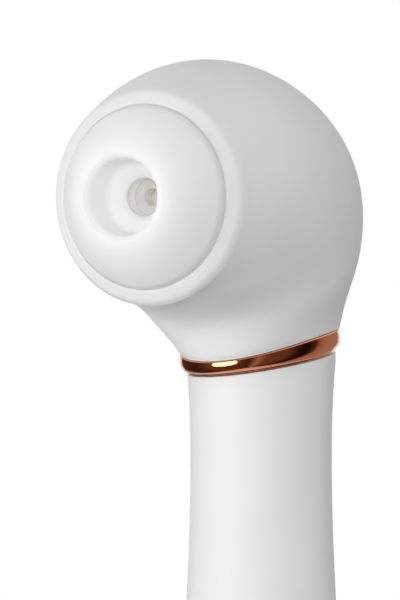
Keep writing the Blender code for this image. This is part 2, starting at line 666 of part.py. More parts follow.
def build_neck() -> None:
    """Slanted trim ring, and the sleeve inside it that joins handle and head."""
    inner = TRIM_UPPER_R - SHELL_INSIDE
    soft = TRIM_HEIGHT * 0.1
    outline = (
        (TRIM_UPPER_R - soft, TRIM_HEIGHT), (TRIM_UPPER_R, TRIM_HEIGHT - soft), (TRIM_LOWER_R, soft),
        (TRIM_LOWER_R - soft, 0), (inner, 0), (inner, TRIM_HEIGHT),
    )
    loft("trim_ring", [slanted_ring(r, z) for r, z in outline], ROSE_METAL, closed=True)

    collar = HANDLE_BORE_R - GAP
    step = HANDLE_LENGTH - TRIM_LOWER_R * SLOPE - 2 * GAP
    bore = COUPLER_R - COUPLER_WALL
    top = COUPLER_TOP
    low = COUPLER_BOTTOM
    outline = [(COUPLER_R, top), (COUPLER_R, step), (collar, step), (collar, low), (bore, low), (bore, top)]
    turned("neck_coupler", outline, GREY_HARD, None)


def build_handle() -> None:
    """One-piece grip with its slanted top, and the openings at its back."""
    top = HANDLE_LENGTH + TRIM_LOWER_R * SLOPE + GAP
    heights = [top + (HANDLE_BOTTOM - top) * i / GRIP_STEPS for i in range(GRIP_STEPS + 1)]
    outline = [(grip_radius(z), z) for z in heights] + [(HANDLE_BORE_R, HANDLE_BOTTOM), (HANDLE_BORE_R, top)]
    shell = turned("handle_shell", outline, WHITE_HARD, None)
    slope = Matrix.Translation((0, 0, HANDLE_LENGTH - GAP)) @ Matrix.Rotation(TRIM_SLOPE, 4, "X")
    tilted = frame_empty("trim_frame", slope)
    lid = box("handle_top_cut", (-OVERCUT, -OVERCUT, 0), (OVERCUT, OVERCUT, OVERCUT), None, tilted)
    back = OVERCUT
    cuts = [lid]
    for name, z, radius in (("power_hole", POWER_Z, BUTTON_R + GAP), ("mode_hole", MODE_Z, BUTTON_R + GAP),
                            ("pipe_hole", PIPE_Z, PIPE_R + GAP)):
        cuts.append(rod(name, (0, CHASSIS_BACK, z), (0, back, z), radius))
    wide = SOCKET_WIDTH / 2 + GAP
    tall = SOCKET_HEIGHT / 2 + GAP
    slot_low = (-wide, CHASSIS_BACK, SOCKET_Z - tall)
    cuts.append(box("socket_slot", slot_low, (wide, back, SOCKET_Z + tall), None))
    combine(shell, "DIFFERENCE", *cuts, solver="MANIFOLD")


def build_base() -> None:
    """End cap with its flat foot, gasket and two screws."""
    top = BASE_THICKNESS + SPIGOT_LENGTH
    spigot = HANDLE_BORE_R - GAP
    foot = grip_radius(0)
    hollow = BASE_SCREW_SPACING / 2 - SCREW_HEAD_R - 2 * GAP
    seat = BASE_THICKNESS
    outline = [(0, seat), (hollow, seat), (hollow, top), (spigot, top), (spigot, seat), (foot, seat),
               (foot, BASE_EDGE), (foot - BASE_EDGE * 0.3, BASE_EDGE * 0.3), (foot - BASE_EDGE, 0), (0, 0)]
    cap = turned("end_cap", outline, WHITE_HARD, None)
    low = BASE_THICKNESS + GAP
    tube("base_gasket", foot - BASE_EDGE, spigot + GAP, low, low + GASKET_THICKNESS, DARK_HARD, None)
    seat = SCREW_HEAD_HEIGHT + GAP
    reach = CHASSIS_BOTTOM + CHASSIS_DISC - seat
    for side, x in (("left", -BASE_SCREW_SPACING / 2), ("right", BASE_SCREW_SPACING / 2)):
        sink = rod("base_sink_" + side, (x, 0, -GAP), (x, 0, seat), SCREW_HEAD_R + GAP)
        hole = rod("base_hole_" + side, (x, 0, seat / 2), (x, 0, top + GAP), SCREW_SHANK_R + GAP)
        combine(cap, "DIFFERENCE", sink, hole, solver="MANIFOLD")
        upright = Matrix.Translation((x, 0, seat - GAP / 2)) @ Matrix.Rotation(math.pi, 4, "X")
        screw("base_screw_" + side, upright, None, reach)


def build_chassis() -> None:
    """Inner frame, with the cell in front of its plate and the board behind it."""
    half = CHASSIS_WIDTH / 2
    r = HANDLE_BORE_R - GAP
    inside = CHASSIS_BOTTOM + CHASSIS_DISC
    cell_low = inside + CONTACT_THICKNESS + 2 * GAP
    cell_high = cell_low + CELL_LENGTH
    stop = cell_high + CONTACT_THICKNESS + 2 * GAP
    frame = box("chassis", (-half, CHASSIS_FRONT, CHASSIS_BOTTOM + CHASSIS_DISC / 2),
                (half, CHASSIS_BACK, CHASSIS_TOP - CHASSIS_DISC / 2), DARK_HARD)
    foot = rod("chassis_foot", (0, 0, CHASSIS_BOTTOM), (0, 0, inside), r, steps=ROUND)
    crown = rod("chassis_crown", (0, 0, CHASSIS_TOP - CHASSIS_DISC), (0, 0, CHASSIS_TOP), r, steps=ROUND)
    shelf = rod("chassis_shelf", (0, 0, stop), (0, 0, stop + CHASSIS_DISC), r, steps=ROUND)
    ahead = box("shelf_front", (-r, -r, stop - GAP), (r, CHASSIS_BACK - GAP, stop + CHASSIS_DISC + GAP), None)
    combine(shelf, "INTERSECT", ahead)
    combine(frame, "UNION", foot, crown, shelf)
    notch = box("lead_notch", (-LEAD_SPREAD - 2 * WIRE_R, BOARD_FRONT, CHASSIS_TOP - 2 * CHASSIS_DISC),
                (LEAD_SPREAD + 2 * WIRE_R, BOARD_BACK + 4 * WIRE_R + 2 * GAP, CHASSIS_TOP + GAP), None)
    combine(frame, "DIFFERENCE", notch)
    for side, x in (("left", -BASE_SCREW_SPACING / 2), ("right", BASE_SCREW_SPACING / 2)):
        low = (x, 0, CHASSIS_BOTTOM - GAP)
        hole = rod("foot_hole_" + side, low, (x, 0, inside + GAP), SCREW_SHANK_R + GAP)
        combine(frame, "DIFFERENCE", hole)

    y = CHASSIS_FRONT - GAP - CELL_R
    rod("battery_cell", (0, y, cell_low), (0, y, cell_high), CELL_R, CELL_BLUE, steps=ROUND // 2)
    for name, z in (("cell_contact_bottom", inside + GAP), ("cell_contact_top", cell_high + GAP)):
        rod(name, (0, y, z), (0, y, z + CONTACT_THICKNESS), CELL_R * 0.5, STEEL)


def build_controls() -> None:
    """Control board with its switches, light and charging socket, and the two push buttons."""
    low = SOCKET_Z - SOCKET_HEIGHT
    high = POWER_Z + SWITCH_SIZE * 2
    half = BOARD_WIDTH / 2
    box("control_board", (-half, BOARD_FRONT, low), (half, BOARD_BACK, high), BOARD_GREEN)
    turn = Matrix.Rotation(-math.pi / 2, 4, "X")
    for name, z in (("power", POWER_Z), ("mode", MODE_Z)):
        s = SWITCH_SIZE / 2
        box(name + "_switch", (-s, SWITCH_FRONT, z - s), (s, SWITCH_TOP, z + s), STEEL)
        rim = BUTTON_R + BUTTON_FLANGE
        shoulder = BUTTON_SEAT + BUTTON_RIM
        face = grip_radius(z) + BUTTON_PROUD
        soft = BUTTON_PROUD
        outline = [(0, face), (BUTTON_R - 2 * soft, face), (BUTTON_R - soft * 0.6, face - soft * 0.3),
                   (BUTTON_R, face - soft), (BUTTON_R, shoulder), (rim, shoulder), (rim, BUTTON_SEAT),
                   (0, BUTTON_SEAT)]
        button = turned(name + "_button", outline, WHITE_HARD, None, SMALL_ROUND)
        button.matrix_local = Matrix.Translation((0, 0, z)) @ turn

    s = PIPE_R
    box("indicator_led", (-s, SWITCH_FRONT, PIPE_Z - s), (s, SWITCH_FRONT + LED_HEIGHT, PIPE_Z + s), FELT)
    start = SWITCH_FRONT + LED_HEIGHT + GAP
    rod("light_pipe", (0, start, PIPE_Z), (0, grip_radius(PIPE_Z), PIPE_Z), PIPE_R, CLEAR_SOFT)

    mouth = grip_radius(SOCKET_Z) - GAP
    wide = SOCKET_WIDTH / 2
    tall = SOCKET_HEIGHT / 2
    low = SOCKET_Z - tall
    high = SOCKET_Z + tall
    socket = box("charge_socket", (-wide, SWITCH_FRONT, low), (wide, mouth, high), STEEL)
    floor = mouth - SOCKET_DEPTH
    wall = SOCKET_WALL
    opening = (wide - wall, mouth + GAP, high - wall)
    hollow = box("socket_hollow", (-wide + wall, floor, low + wall), opening, None)
    blade = wide * 0.7
    tip = (blade, mouth - wall, SOCKET_Z + wall)
    tongue = box("socket_tongue", (-blade, floor - wall, SOCKET_Z - wall), tip, None)
    combine(socket, "DIFFERENCE", hollow)
    combine(socket, "UNION", tongue)


def build_leads() -> None:
    """The motor's two leads, from the board up through the neck to the motor's cap."""
    cap_back = MOTOR_BACK - GAP - MOTOR_CAP_THICKNESS
    behind = BOARD_BACK + GAP + WIRE_R
    place = Matrix.Translation((0, 0, NOZZLE_Z)) @ NOZZLE_TURN
    for side, sign, look in (("left", -1, BLACK_WIRE), ("right", 1, RED_WIRE)):
        x = sign * LEAD_SPREAD
        route = [
            Vector((x, behind, POWER_Z + SWITCH_SIZE)),
            Vector((x, behind, CHASSIS_TOP - CHASSIS_DISC)),
            Vector((x, behind, HANDLE_LENGTH)),
            Vector((x, behind + 0.4 * MM, COUPLER_TOP)),
            place @ Vector((x, -MOTOR_R - 3.0 * MM, cap_back - 1.4 * MM)),
            place @ Vector((x, -MOTOR_R * 0.55, cap_back - 1.5 * MM)),
            place @ Vector((x, -MOTOR_R * 0.3, cap_back - GAP)),
        ]
        wire("motor_lead_" + side, route, look)


def wire(name: str, route: list, look: tuple) -> None:
    """Makes a thin lead along a smooth curve through the route's points."""
    data = bpy.data.curves.new(name, "CURVE")
    data.dimensions = "3D"
    data.bevel_depth = WIRE_R
    data.bevel_resolution = 1
    data.use_fill_caps = True
    line = data.splines.new("POLY")
    line.points.add(int(LEAD_POINTS) - 1)
    last = len(line.points) - 1
    for i, point in enumerate(line.points):
        point.co = (*smooth_path(route, i / last), 1)
    made = bpy.data.objects.new(name, data)
    PARTS.objects.link(made)
    data.materials.append(finish(name, *look))


def main() -> None:
    """Builds the whole assembly."""
    build_head()
    build_nose()
    build_pump()
    build_neck()
    build_handle()
    build_base()
    build_chassis()
    build_controls()
    build_leads()


main()
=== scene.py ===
"""Looks of a handheld suction skin-care wand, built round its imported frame.

Units are metres and +Z is up. The handle stands on its base at the origin, and the suction cup looks
along -Y, pitched a little down. Each sub-assembly is a class with its sizes as fields.
"""

from __future__ import annotations

import json
import logging
import math
from dataclasses import dataclass, field
from enum import Enum
from typing import Sequence

import bmesh
import bpy
import numpy as np
from mathutils import Matrix, Vector

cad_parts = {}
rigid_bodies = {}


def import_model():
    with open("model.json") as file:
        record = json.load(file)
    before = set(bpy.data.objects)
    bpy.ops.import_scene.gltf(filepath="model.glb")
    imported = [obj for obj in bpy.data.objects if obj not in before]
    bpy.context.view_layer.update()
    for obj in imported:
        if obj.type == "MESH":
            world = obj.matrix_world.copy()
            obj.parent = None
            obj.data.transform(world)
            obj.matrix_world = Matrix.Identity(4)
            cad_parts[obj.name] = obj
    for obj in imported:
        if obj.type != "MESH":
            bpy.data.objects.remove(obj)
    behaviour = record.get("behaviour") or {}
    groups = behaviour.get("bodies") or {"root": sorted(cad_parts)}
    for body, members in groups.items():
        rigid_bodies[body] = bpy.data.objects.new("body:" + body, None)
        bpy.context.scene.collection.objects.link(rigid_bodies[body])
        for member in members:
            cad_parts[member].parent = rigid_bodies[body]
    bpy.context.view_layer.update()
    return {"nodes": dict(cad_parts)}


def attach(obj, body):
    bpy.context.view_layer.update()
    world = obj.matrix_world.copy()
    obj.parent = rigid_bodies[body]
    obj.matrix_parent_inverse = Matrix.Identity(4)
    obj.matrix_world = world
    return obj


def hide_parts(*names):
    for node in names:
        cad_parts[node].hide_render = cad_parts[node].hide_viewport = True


LOG = logging.getLogger("suction_wand")

MM = 0.001
GAP = 0.3 * MM
SEAM = 0.05 * MM
HAIR = GAP / 50
WELD = 1e-7
ROUND = 160
SMALL_ROUND = 64
ARC_STEPS = 7
EDGE_SHARE = 0.49
SADDLE_MEAN = 1 / 3
SHARP_ANGLE = math.radians(32)

DRIFT_DETAIL = 3.0
GRAIN_DETAIL = 6.0
NOISE_RANGE = (0.3, 0.7)
LEAST_ROUGHNESS = 0.02
COAT_ROUGHNESS = 0.12
SCATTER = (1.0, 0.95, 0.92)
WHITE = (1.0, 1.0, 1.0, 1.0)
BLACK = (0.0, 0.0, 0.0, 1.0)

Color = tuple[float, float, float]
Corner = tuple[float, float, float]
Outline = list[tuple[float, float]]
Ring = list[Vector]
Shape = bmesh.types.BMesh
Piece = bpy.types.Object
Socket = bpy.types.NodeSocket


class Body(Enum):
    """Rigid bodies of the frame that a piece can ride on."""

    DEVICE = "device"
    CUP = "suction_cup"
    POWER = "power_button"
    MODE = "mode_button"


class Grain(Enum):
    """Kinds of fine surface, as the stretch of the noise along X, Y and Z."""

    EVEN = (1.0, 1.0, 1.0)
    TURNED = (1.0, 1.0, 14.0)
    DRAWN = (1.0, 1.0, 0.06)
    FIBRE = (1.0, 0.35, 1.0)


class Nodes:
    """Adds nodes to a tree and joins them."""

    def __init__(self, tree: bpy.types.NodeTree) -> None:
        """Takes the tree to work on."""
        self.tree = tree

    def add(self, kind: str, **sources: object) -> bpy.types.Node:
        """Adds a node.

        Args:
            kind: its type.
            sources: for each of its inputs, by name with _ for a space, an output or a plain value.

        Returns:
            The node.
        """
        node = self.tree.nodes.new(kind)
        for name, source in sources.items():
            self.feed(node.inputs[name.replace("_", " ")], source)
        return node

    def feed(self, socket: Socket, source: object) -> None:
        """Links an output to a socket, or sets a plain value on it.

        Args:
            socket: the input.
            source: an output or a plain value.
        """
        if isinstance(source, Socket):
            self.tree.links.new(source, socket)
        else:
            socket.default_value = source

    def math(self, operation: str, one: object, two: object = 0.0) -> Socket:
        """Adds a Math node.

        Args:
            operation: what it does.
            one: its first input, an output or a plain value.
            two: its second input.

        Returns:
            Its result.
        """
        node = self.add("ShaderNodeMath")
        node.operation = operation
        self.feed(node.inputs[0], one)
        self.feed(node.inputs[1], two)
        return node.outputs[0]

    def mix(self, share: Socket, one: Socket, two: Socket) -> Socket:
        """Adds a Mix Shader node.

        Args:
            share: how much of the second shader shows.
            one: the first shader.
            two: the second shader.

        Returns:
            Its result.
        """
        node = self.add("ShaderNodeMixShader")
        for socket, source in zip(node.inputs, (share, one, two)):
            self.feed(socket, source)
        return node.outputs[0]

    def shade(self, values: dict[str, object]) -> Socket:
        """Feeds the material's main shader.

        Args:
            values: an output or a plain value for each input, by name.

        Returns:
            The shader's result.
        """
        shader = self.tree.nodes["Principled BSDF"]
        for name, value in values.items():
            self.feed(shader.inputs[name], value)
        return shader.outputs[0]


def new_material(name: str) -> tuple[bpy.types.Material, Nodes]:
    """Starts a material.

    Args:
        name: its name.

    Returns:
        The material and its nodes.
    """
    made = bpy.data.materials.new(name)
    made.use_nodes = True
    return made, Nodes(made.node_tree)


@dataclass(frozen=True)
class Finish:
    """A procedural finish: colour that drifts a little, uneven gloss and a fine grain."""

    name: str
    color: Color
    roughness: float
    metallic: float = 0.0
    grain: Grain = Grain.EVEN
    grain_size: float = 0.35 * MM
    grain_depth: float = 0.003 * MM
    drift: float = 0.015
    drift_size: float = 14 * MM
    uneven: float = 0.04
    subsurface: float = 0.0
    subsurface_reach: float = 3.5 * MM
    coat: float = 0.0
    sheen: float = 0.0
    transmission: float = 0.0
    specular: float = 0.5

    def material(self) -> bpy.types.Material:
        """Builds the material, or gives the one that an earlier piece had built.

        Returns:
            The material, on Object coordinates.
        """
        look = self.name + "_look"
        made = bpy.data.materials.get(look)
        if made is not None:
            return made
        made, nodes = new_material(look)
        broad = self._noise(nodes, self.drift_size, DRIFT_DETAIL, Grain.EVEN)
        fine = self._noise(nodes, self.grain_size, GRAIN_DETAIL, self.grain)
        bump = nodes.add("ShaderNodeBump", Strength=1.0, Distance=self.grain_depth, Height=fine)
        nodes.shade({
            "Base Color": self._color(nodes, broad),
            "Roughness": self._gloss(nodes, broad),
            "Normal": bump.outputs["Normal"],
            "Metallic": self.metallic,
            "Subsurface Weight": self.subsurface,
            "Subsurface Scale": self.subsurface_reach,
            "Subsurface Radius": SCATTER,
            "Coat Weight": self.coat,
            "Coat Roughness": COAT_ROUGHNESS,
            "Sheen Weight": self.sheen,
            "Transmission Weight": self.transmission,
            "Specular IOR Level": self.specular,
        })
        return made

    @staticmethod
    def _noise(nodes: Nodes, size: float, detail: float, grain: Grain) -> Socket:
        """Adds a noise on Object coordinates.

        Args:
            nodes: the material's nodes.
            size: how large its features are.
            detail: its octaves.
            grain: how it is stretched.

        Returns:
            The noise's value.
        """
        coords = nodes.add("ShaderNodeTexCoord").outputs["Object"]
        place = nodes.add("ShaderNodeMapping", Vector=coords, Scale=grain.value).outputs["Vector"]
        return nodes.add("ShaderNodeTexNoise", Vector=place, Scale=1 / size, Detail=detail).outputs["Fac"]

    def _color(self, nodes: Nodes, noise: Socket) -> Socket:
        """Lets the colour drift between a darker and a lighter tone.

        Args:
            nodes: the material's nodes.
            noise: what the drift follows.

        Returns:
            The colour.
        """
        ramp = nodes.add("ShaderNodeValToRGB", Fac=noise)
        low, high = ramp.color_ramp.elements
        low.position, high.position = NOISE_RANGE
        low.color = (*(c * (1 - self.drift) for c in self.color), 1.0)
        high.color = (*(min(1.0, c * (1 + self.drift)) for c in self.color), 1.0)
        return ramp.outputs["Color"]

    def _gloss(self, nodes: Nodes, noise: Socket) -> Socket:
        """Lets the roughness vary about its value.

        Args:
            nodes: the material's nodes.
            noise: what it follows.

        Returns:
            The roughness.
        """
        low, high = NOISE_RANGE
        spread = nodes.add("ShaderNodeMapRange", Value=noise, From_Min=low, From_Max=high,
                           To_Min=max(LEAST_ROUGHNESS, self.roughness - self.uneven),
                           To_Max=min(1.0, self.roughness + self.uneven))
        return spread.outputs["Result"]


SKIN = Finish("skin_silicone", (0.830, 0.830, 0.830), 0.66, subsurface=0.35, sheen=0.05, specular=0.30,
              grain_size=0.22 * MM, grain_depth=0.002 * MM)
CUP = Finish("cup_silicone", (0.865, 0.865, 0.863), 0.60, subsurface=0.6, specular=0.32,
             grain_size=0.25 * MM, grain_depth=0.002 * MM)
# Painted light: the bowl is painted paler than the rest of the cup, to brighten a hollow that the lamps
# leave darker.
CUP_BOWL_PAINTED_LIGHT = Finish("cup_bowl_painted_light", (0.965, 0.965, 0.960), 0.60, subsurface=0.6, specular=0.32)
# Painted light and shade: the throat's walls are painted paler and its floor darker grey, a lit and a shaded
# copy of one silicone.
CUP_THROAT_PAINTED_LIGHT = Finish("cup_throat_painted_light", (0.930, 0.925, 0.915), 0.55, specular=0.32)
CUP_FLOOR_PAINTED_SHADE = Finish("cup_core", (0.640, 0.635, 0.620), 0.55, specular=0.32)
GRIP_WHITE = Finish("handle_white", (0.830, 0.830, 0.830), 0.50, specular=0.40, grain_size=0.18 * MM,
                    grain_depth=0.0012 * MM)
BUTTON_WHITE = Finish("button_white", (0.80, 0.80, 0.80), 0.42, grain_size=0.16 * MM)
ROSE_GOLD = Finish("rose_gold", (0.800, 0.310, 0.170), 0.09, 1.0, Grain.TURNED, 0.5 * MM, 0.0002 * MM,
                   drift=0.02, uneven=0.025)
INNER_WHITE = Finish("inner_white", (0.74, 0.74, 0.72), 0.45, grain_size=0.3 * MM)
PORT_GREY = Finish("port_plastic", (0.52, 0.53, 0.54), 0.42, drift=0.03)
GREY_PLASTIC = Finish("grey_plastic", (0.46, 0.47, 0.48), 0.5, drift=0.04, grain_depth=0.006 * MM)
BLACK_PLASTIC = Finish("black_plastic", (0.035, 0.035, 0.038), 0.48, drift=0.1, grain_depth=0.006 * MM)
RUBBER = Finish("black_rubber", (0.022, 0.022, 0.024), 0.72, drift=0.15, grain_depth=0.006 * MM)
GASKET = Finish("gasket_rubber", (0.050, 0.050, 0.052), 0.70, drift=0.12, grain_depth=0.005 * MM)
FELT = Finish("filter_felt", (0.80, 0.78, 0.72), 0.95, grain=Grain.FIBRE, grain_size=0.12 * MM,
              grain_depth=0.05 * MM, drift=0.06, drift_size=0.6 * MM, sheen=0.3)
TUBE = Finish("tube_silicone", (0.82, 0.83, 0.80), 0.28, transmission=0.55, subsurface=0.1)
CLEAR = Finish("clear_pipe", (0.90, 0.91, 0.92), 0.16, transmission=0.75, grain_depth=0.001 * MM)
STEEL = Finish("screw_steel", (0.56, 0.56, 0.57), 0.28, 1.0, Grain.TURNED, 0.25 * MM, 0.001 * MM,
               uneven=0.08)
MOTOR_STEEL = Finish("motor_steel", (0.60, 0.60, 0.60), 0.33, 1.0, Grain.DRAWN, 0.2 * MM, 0.002 * MM,
                     drift=0.05, uneven=0.1)
SHAFT_STEEL = Finish("shaft_steel", (0.66, 0.66, 0.67), 0.16, 1.0, Grain.TURNED, 0.15 * MM, 0.0005 * MM)
CONTACT = Finish("contact_steel", (0.70, 0.69, 0.66), 0.24, 1.0, grain_depth=0.002 * MM, drift=0.05)
SWITCH = Finish("switch_steel", (0.62, 0.62, 0.63), 0.30, 1.0, Grain.DRAWN, 0.15 * MM, 0.002 * MM)
SOCKET = Finish("socket_steel", (0.58, 0.58, 0.60), 0.27, 1.0, Grain.DRAWN, 0.12 * MM, 0.0015 * MM)
GOLD_PAD = Finish("pad_gold", (0.83, 0.62, 0.26), 0.22, 1.0, grain_depth=0.001 * MM)
BRASS = Finish("eccentric_brass", (0.70, 0.53, 0.24), 0.30, 1.0, Grain.TURNED, 0.2 * MM, 0.002 * MM,
               drift=0.06)
WRAP = Finish("cell_wrap", (0.06, 0.16, 0.38), 0.35, drift=0.08, coat=0.3, grain_depth=0.004 * MM)
BOARD = Finish("board_green", (0.015, 0.14, 0.06), 0.40, drift=0.25, drift_size=2.2 * MM, coat=0.25,
               grain=Grain.FIBRE, grain_size=0.3 * MM, grain_depth=0.01 * MM)
LED = Finish("led_white", (0.85, 0.84, 0.74), 0.30, transmission=0.1)
BLACK_LEAD = Finish("lead_black", (0.018, 0.018, 0.018), 0.45, drift=0.1)
RED_LEAD = Finish("lead_red", (0.45, 0.016, 0.014), 0.45, drift=0.08)
FLOOR = Finish("floor_pale", (0.76, 0.76, 0.76), 0.8, drift=0.004, drift_size=200 * MM)


def add_object(name: str, data: bpy.types.ID) -> Piece:
    """Links a new object to the scene.

    Args:
        name: its name.
        data: its mesh, light or camera.

    Returns:
        The object.
    """
    made = bpy.data.objects.new(name, data)
    bpy.context.scene.collection.objects.link(made)
    return made


def as_mesh(name: str, work: Shape) -> bpy.types.Mesh:
    """Turns a bmesh into a mesh.

    Args:
        name: the mesh's name.
        work: the shape, freed here.

    Returns:
        The mesh.
    """
    mesh = bpy.data.meshes.new(name)
    work.to_mesh(mesh)
    work.free()
    return mesh


def smooth(mesh: bpy.types.Mesh) -> None:
    """Shades a mesh smooth, with its real corners sharp."""
    mesh.shade_smooth()
    mesh.set_sharp_from_angle(angle=SHARP_ANGLE)


def to_object(name: str, work: Shape, finish: Finish, place: Matrix | None = None) -> Piece:
    """Turns a bmesh into an object at the origin, with its place in its mesh.

    Args:
        name: the piece's name.
        work: its shape, freed here.
        finish: what it is made of.
        place: where it goes, or None if it is there already.

    Returns:
        The new object.
    """
    if place is not None:
        work.transform(place)
    bmesh.ops.remove_doubles(work, verts=work.verts, dist=WELD)
    bmesh.ops.recalc_face_normals(work, faces=work.faces)
    mesh = as_mesh(name, work)
    mesh.materials.append(finish.material())
    smooth(mesh)
    return add_object(name, mesh)


def settle(piece: Piece, body: Body, slot: str, *nodes: str) -> None:
    """Hands a finished piece to the frame.

    Args:
        piece: the piece, at the origin.
        body: what it moves with.
        slot: the record's material slot; not used.
        nodes: the CAD nodes that it stands for.
    """
    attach(piece, body.value)
    if nodes:
        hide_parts(*nodes)
    LOG.info("%s: %d faces, rides on %s, stands for %s", piece.name, len(piece.data.polygons), body.value,
             ", ".join(nodes) or "nothing")


def shares(steps: int) -> list[float]:
    """Gives even steps from 0 to 1."""
    return [step / steps for step in range(steps + 1)]


def full_turn(steps: int = ROUND) -> Outline:
    """Gives the cosine and sine at even steps round a circle."""
    angles = (2 * math.pi * share for share in shares(steps)[:-1])
    return [(math.cos(a), math.sin(a)) for a in angles]


def quarter_turn(steps: int = ARC_STEPS) -> Outline:
    """Gives 1 - cosine and 1 - sine at even steps from 0 to a right angle."""
    angles = (math.pi / 2 * share for share in shares(steps))
    return [(1 - math.cos(a), 1 - math.sin(a)) for a in angles]


def rounded(corners: Sequence[Corner]) -> Outline:
    """Rounds the corners of a closed outline with arcs.

    Args:
        corners: (radius, height, rounding) of each corner in order.

    Returns:
        The outline's points.
    """
    points: Outline = []
    count = len(corners)
    for i, (r, z, rounding) in enumerate(corners):
        here = Vector((r, z))
        if rounding == 0:
            points.append((r, z))
            continue
        back = Vector(corners[i - 1][:2]) - here
        ahead = Vector(corners[(i + 1) % count][:2]) - here
        half = back.angle(ahead) / 2
        reach = min(rounding / math.tan(half), EDGE_SHARE * back.length, EDGE_SHARE * ahead.length)
        radius = reach * math.tan(half)
        centre = here + (back.normalized() + ahead.normalized()).normalized() * (radius / math.sin(half))
        start = here + back.normalized() * reach - centre
        sweep = math.copysign(math.pi - 2 * half, back.cross(ahead)) * -1
        for share in shares(ARC_STEPS):
            turn = sweep * share
            x = start.x * math.cos(turn) - start.y * math.sin(turn)
            y = start.x * math.sin(turn) + start.y * math.cos(turn)
            points.append((centre.x + x, centre.y + y))
    return points


def skin_rows(rows: Sequence[Ring], closed: bool) -> Shape:
    """Joins rings of points into a skin.

    Args:
        rows: rings of points; a ring of one point is a pole.
        closed: True joins the last ring to the first.

    Returns:
        The skin.
    """
    work = bmesh.new()
    rings = [[work.verts.new(point) for point in row] for row in rows]
    pairs = list(zip(rings, rings[1:]))
    if closed:
        pairs.append((rings[-1], rings[0]))
    for one, two in pairs:
        count = max(len(one), len(two))
        if count == 1:
            continue
        for j in range(count):
            after = (j + 1) % count
            corners = [one[j % len(one)], one[after % len(one)], two[after % len(two)], two[j % len(two)]]
            work.faces.new(list(dict.fromkeys(corners)))
    return work


def turned(outline: Outline, steps: int = ROUND) -> Shape:
    """Turns an outline about the local Z axis.

    Args:
        outline: (radius, height) points. Closed on itself, or from axis to axis.
        steps: its number of sides.

    Returns:
        The turned shape.
    """
    circle = full_turn(steps)
    rows = []
    for r, z in outline:
        row = [(r * c, r * s) for c, s in circle] if r >= WELD else [(0, 0)]
        rows.append([Vector((x, y, z)) for x, y in row])
    return skin_rows(rows, closed=outline[0][0] > WELD)


def rod(r: float, low: float, high: float, steps: int = SMALL_ROUND) -> Shape:
    """Makes a plain rod on the local Z axis, for cutting."""
    return turned([(0.0, low), (r, low), (r, high), (0.0, high)], steps)


def slot_ring(width: float, height: float, y: float, z: float) -> Ring:
    """Gives one ring of a slot with round ends that looks along Y.

    Args:
        width: its overall width along X.
        height: its height along Z, which is twice the radius of its ends.
        y: where the ring lies.
        z: height of its middle.

    Returns:
        The ring's points.
    """
    r = height / 2
    points = []
    for side, start in ((1, -math.pi / 2), (-1, math.pi / 2)):
        for share in shares(2 * ARC_STEPS):
            angle = start + math.pi * share
            x = side * (width / 2 - r) + r * math.cos(angle)
            points.append(Vector((x, y, z + r * math.sin(angle))))
    return points


def slot_bar(z: float, *ends: tuple[float, float, float]) -> Shape:
    """Makes a closed bar along Y round a height, through slots of (width, height, y) in order."""
    rings = [slot_ring(width, height, y, z) for width, height, y in ends]
    return skin_rows([[Vector((0, ends[0][2], z))], *rings, [Vector((0, ends[-1][2], z))]], closed=False)


def carve(piece: Piece, cutters: Sequence[Shape]) -> None:
    """Cuts closed shapes from a piece and keeps the result as its plain mesh.

    Args:
        piece: the piece that changes.
        cutters: closed shapes, freed here.
    """
    helpers = []
    for work in cutters:
        bmesh.ops.recalc_face_normals(work, faces=work.faces)
        helpers.append(add_object("cutter", as_mesh("cutter", work)))
        step = piece.modifiers.new("cut", "BOOLEAN")
        step.operation = "DIFFERENCE"
        step.solver = "EXACT"
        step.object = helpers[-1]
    keep_result(piece)
    for helper in helpers:
        bpy.data.meshes.remove(helper.data)


def keep_result(piece: Piece) -> None:
    """Replaces a piece's mesh by what its modifiers make of it.

    Args:
        piece: the piece that changes.
    """
    graph = bpy.context.evaluated_depsgraph_get()
    mesh = bpy.data.meshes.new_from_object(piece.evaluated_get(graph))
    piece.modifiers.clear()
    piece.data = mesh
    mesh.name = piece.name
    smooth(mesh)


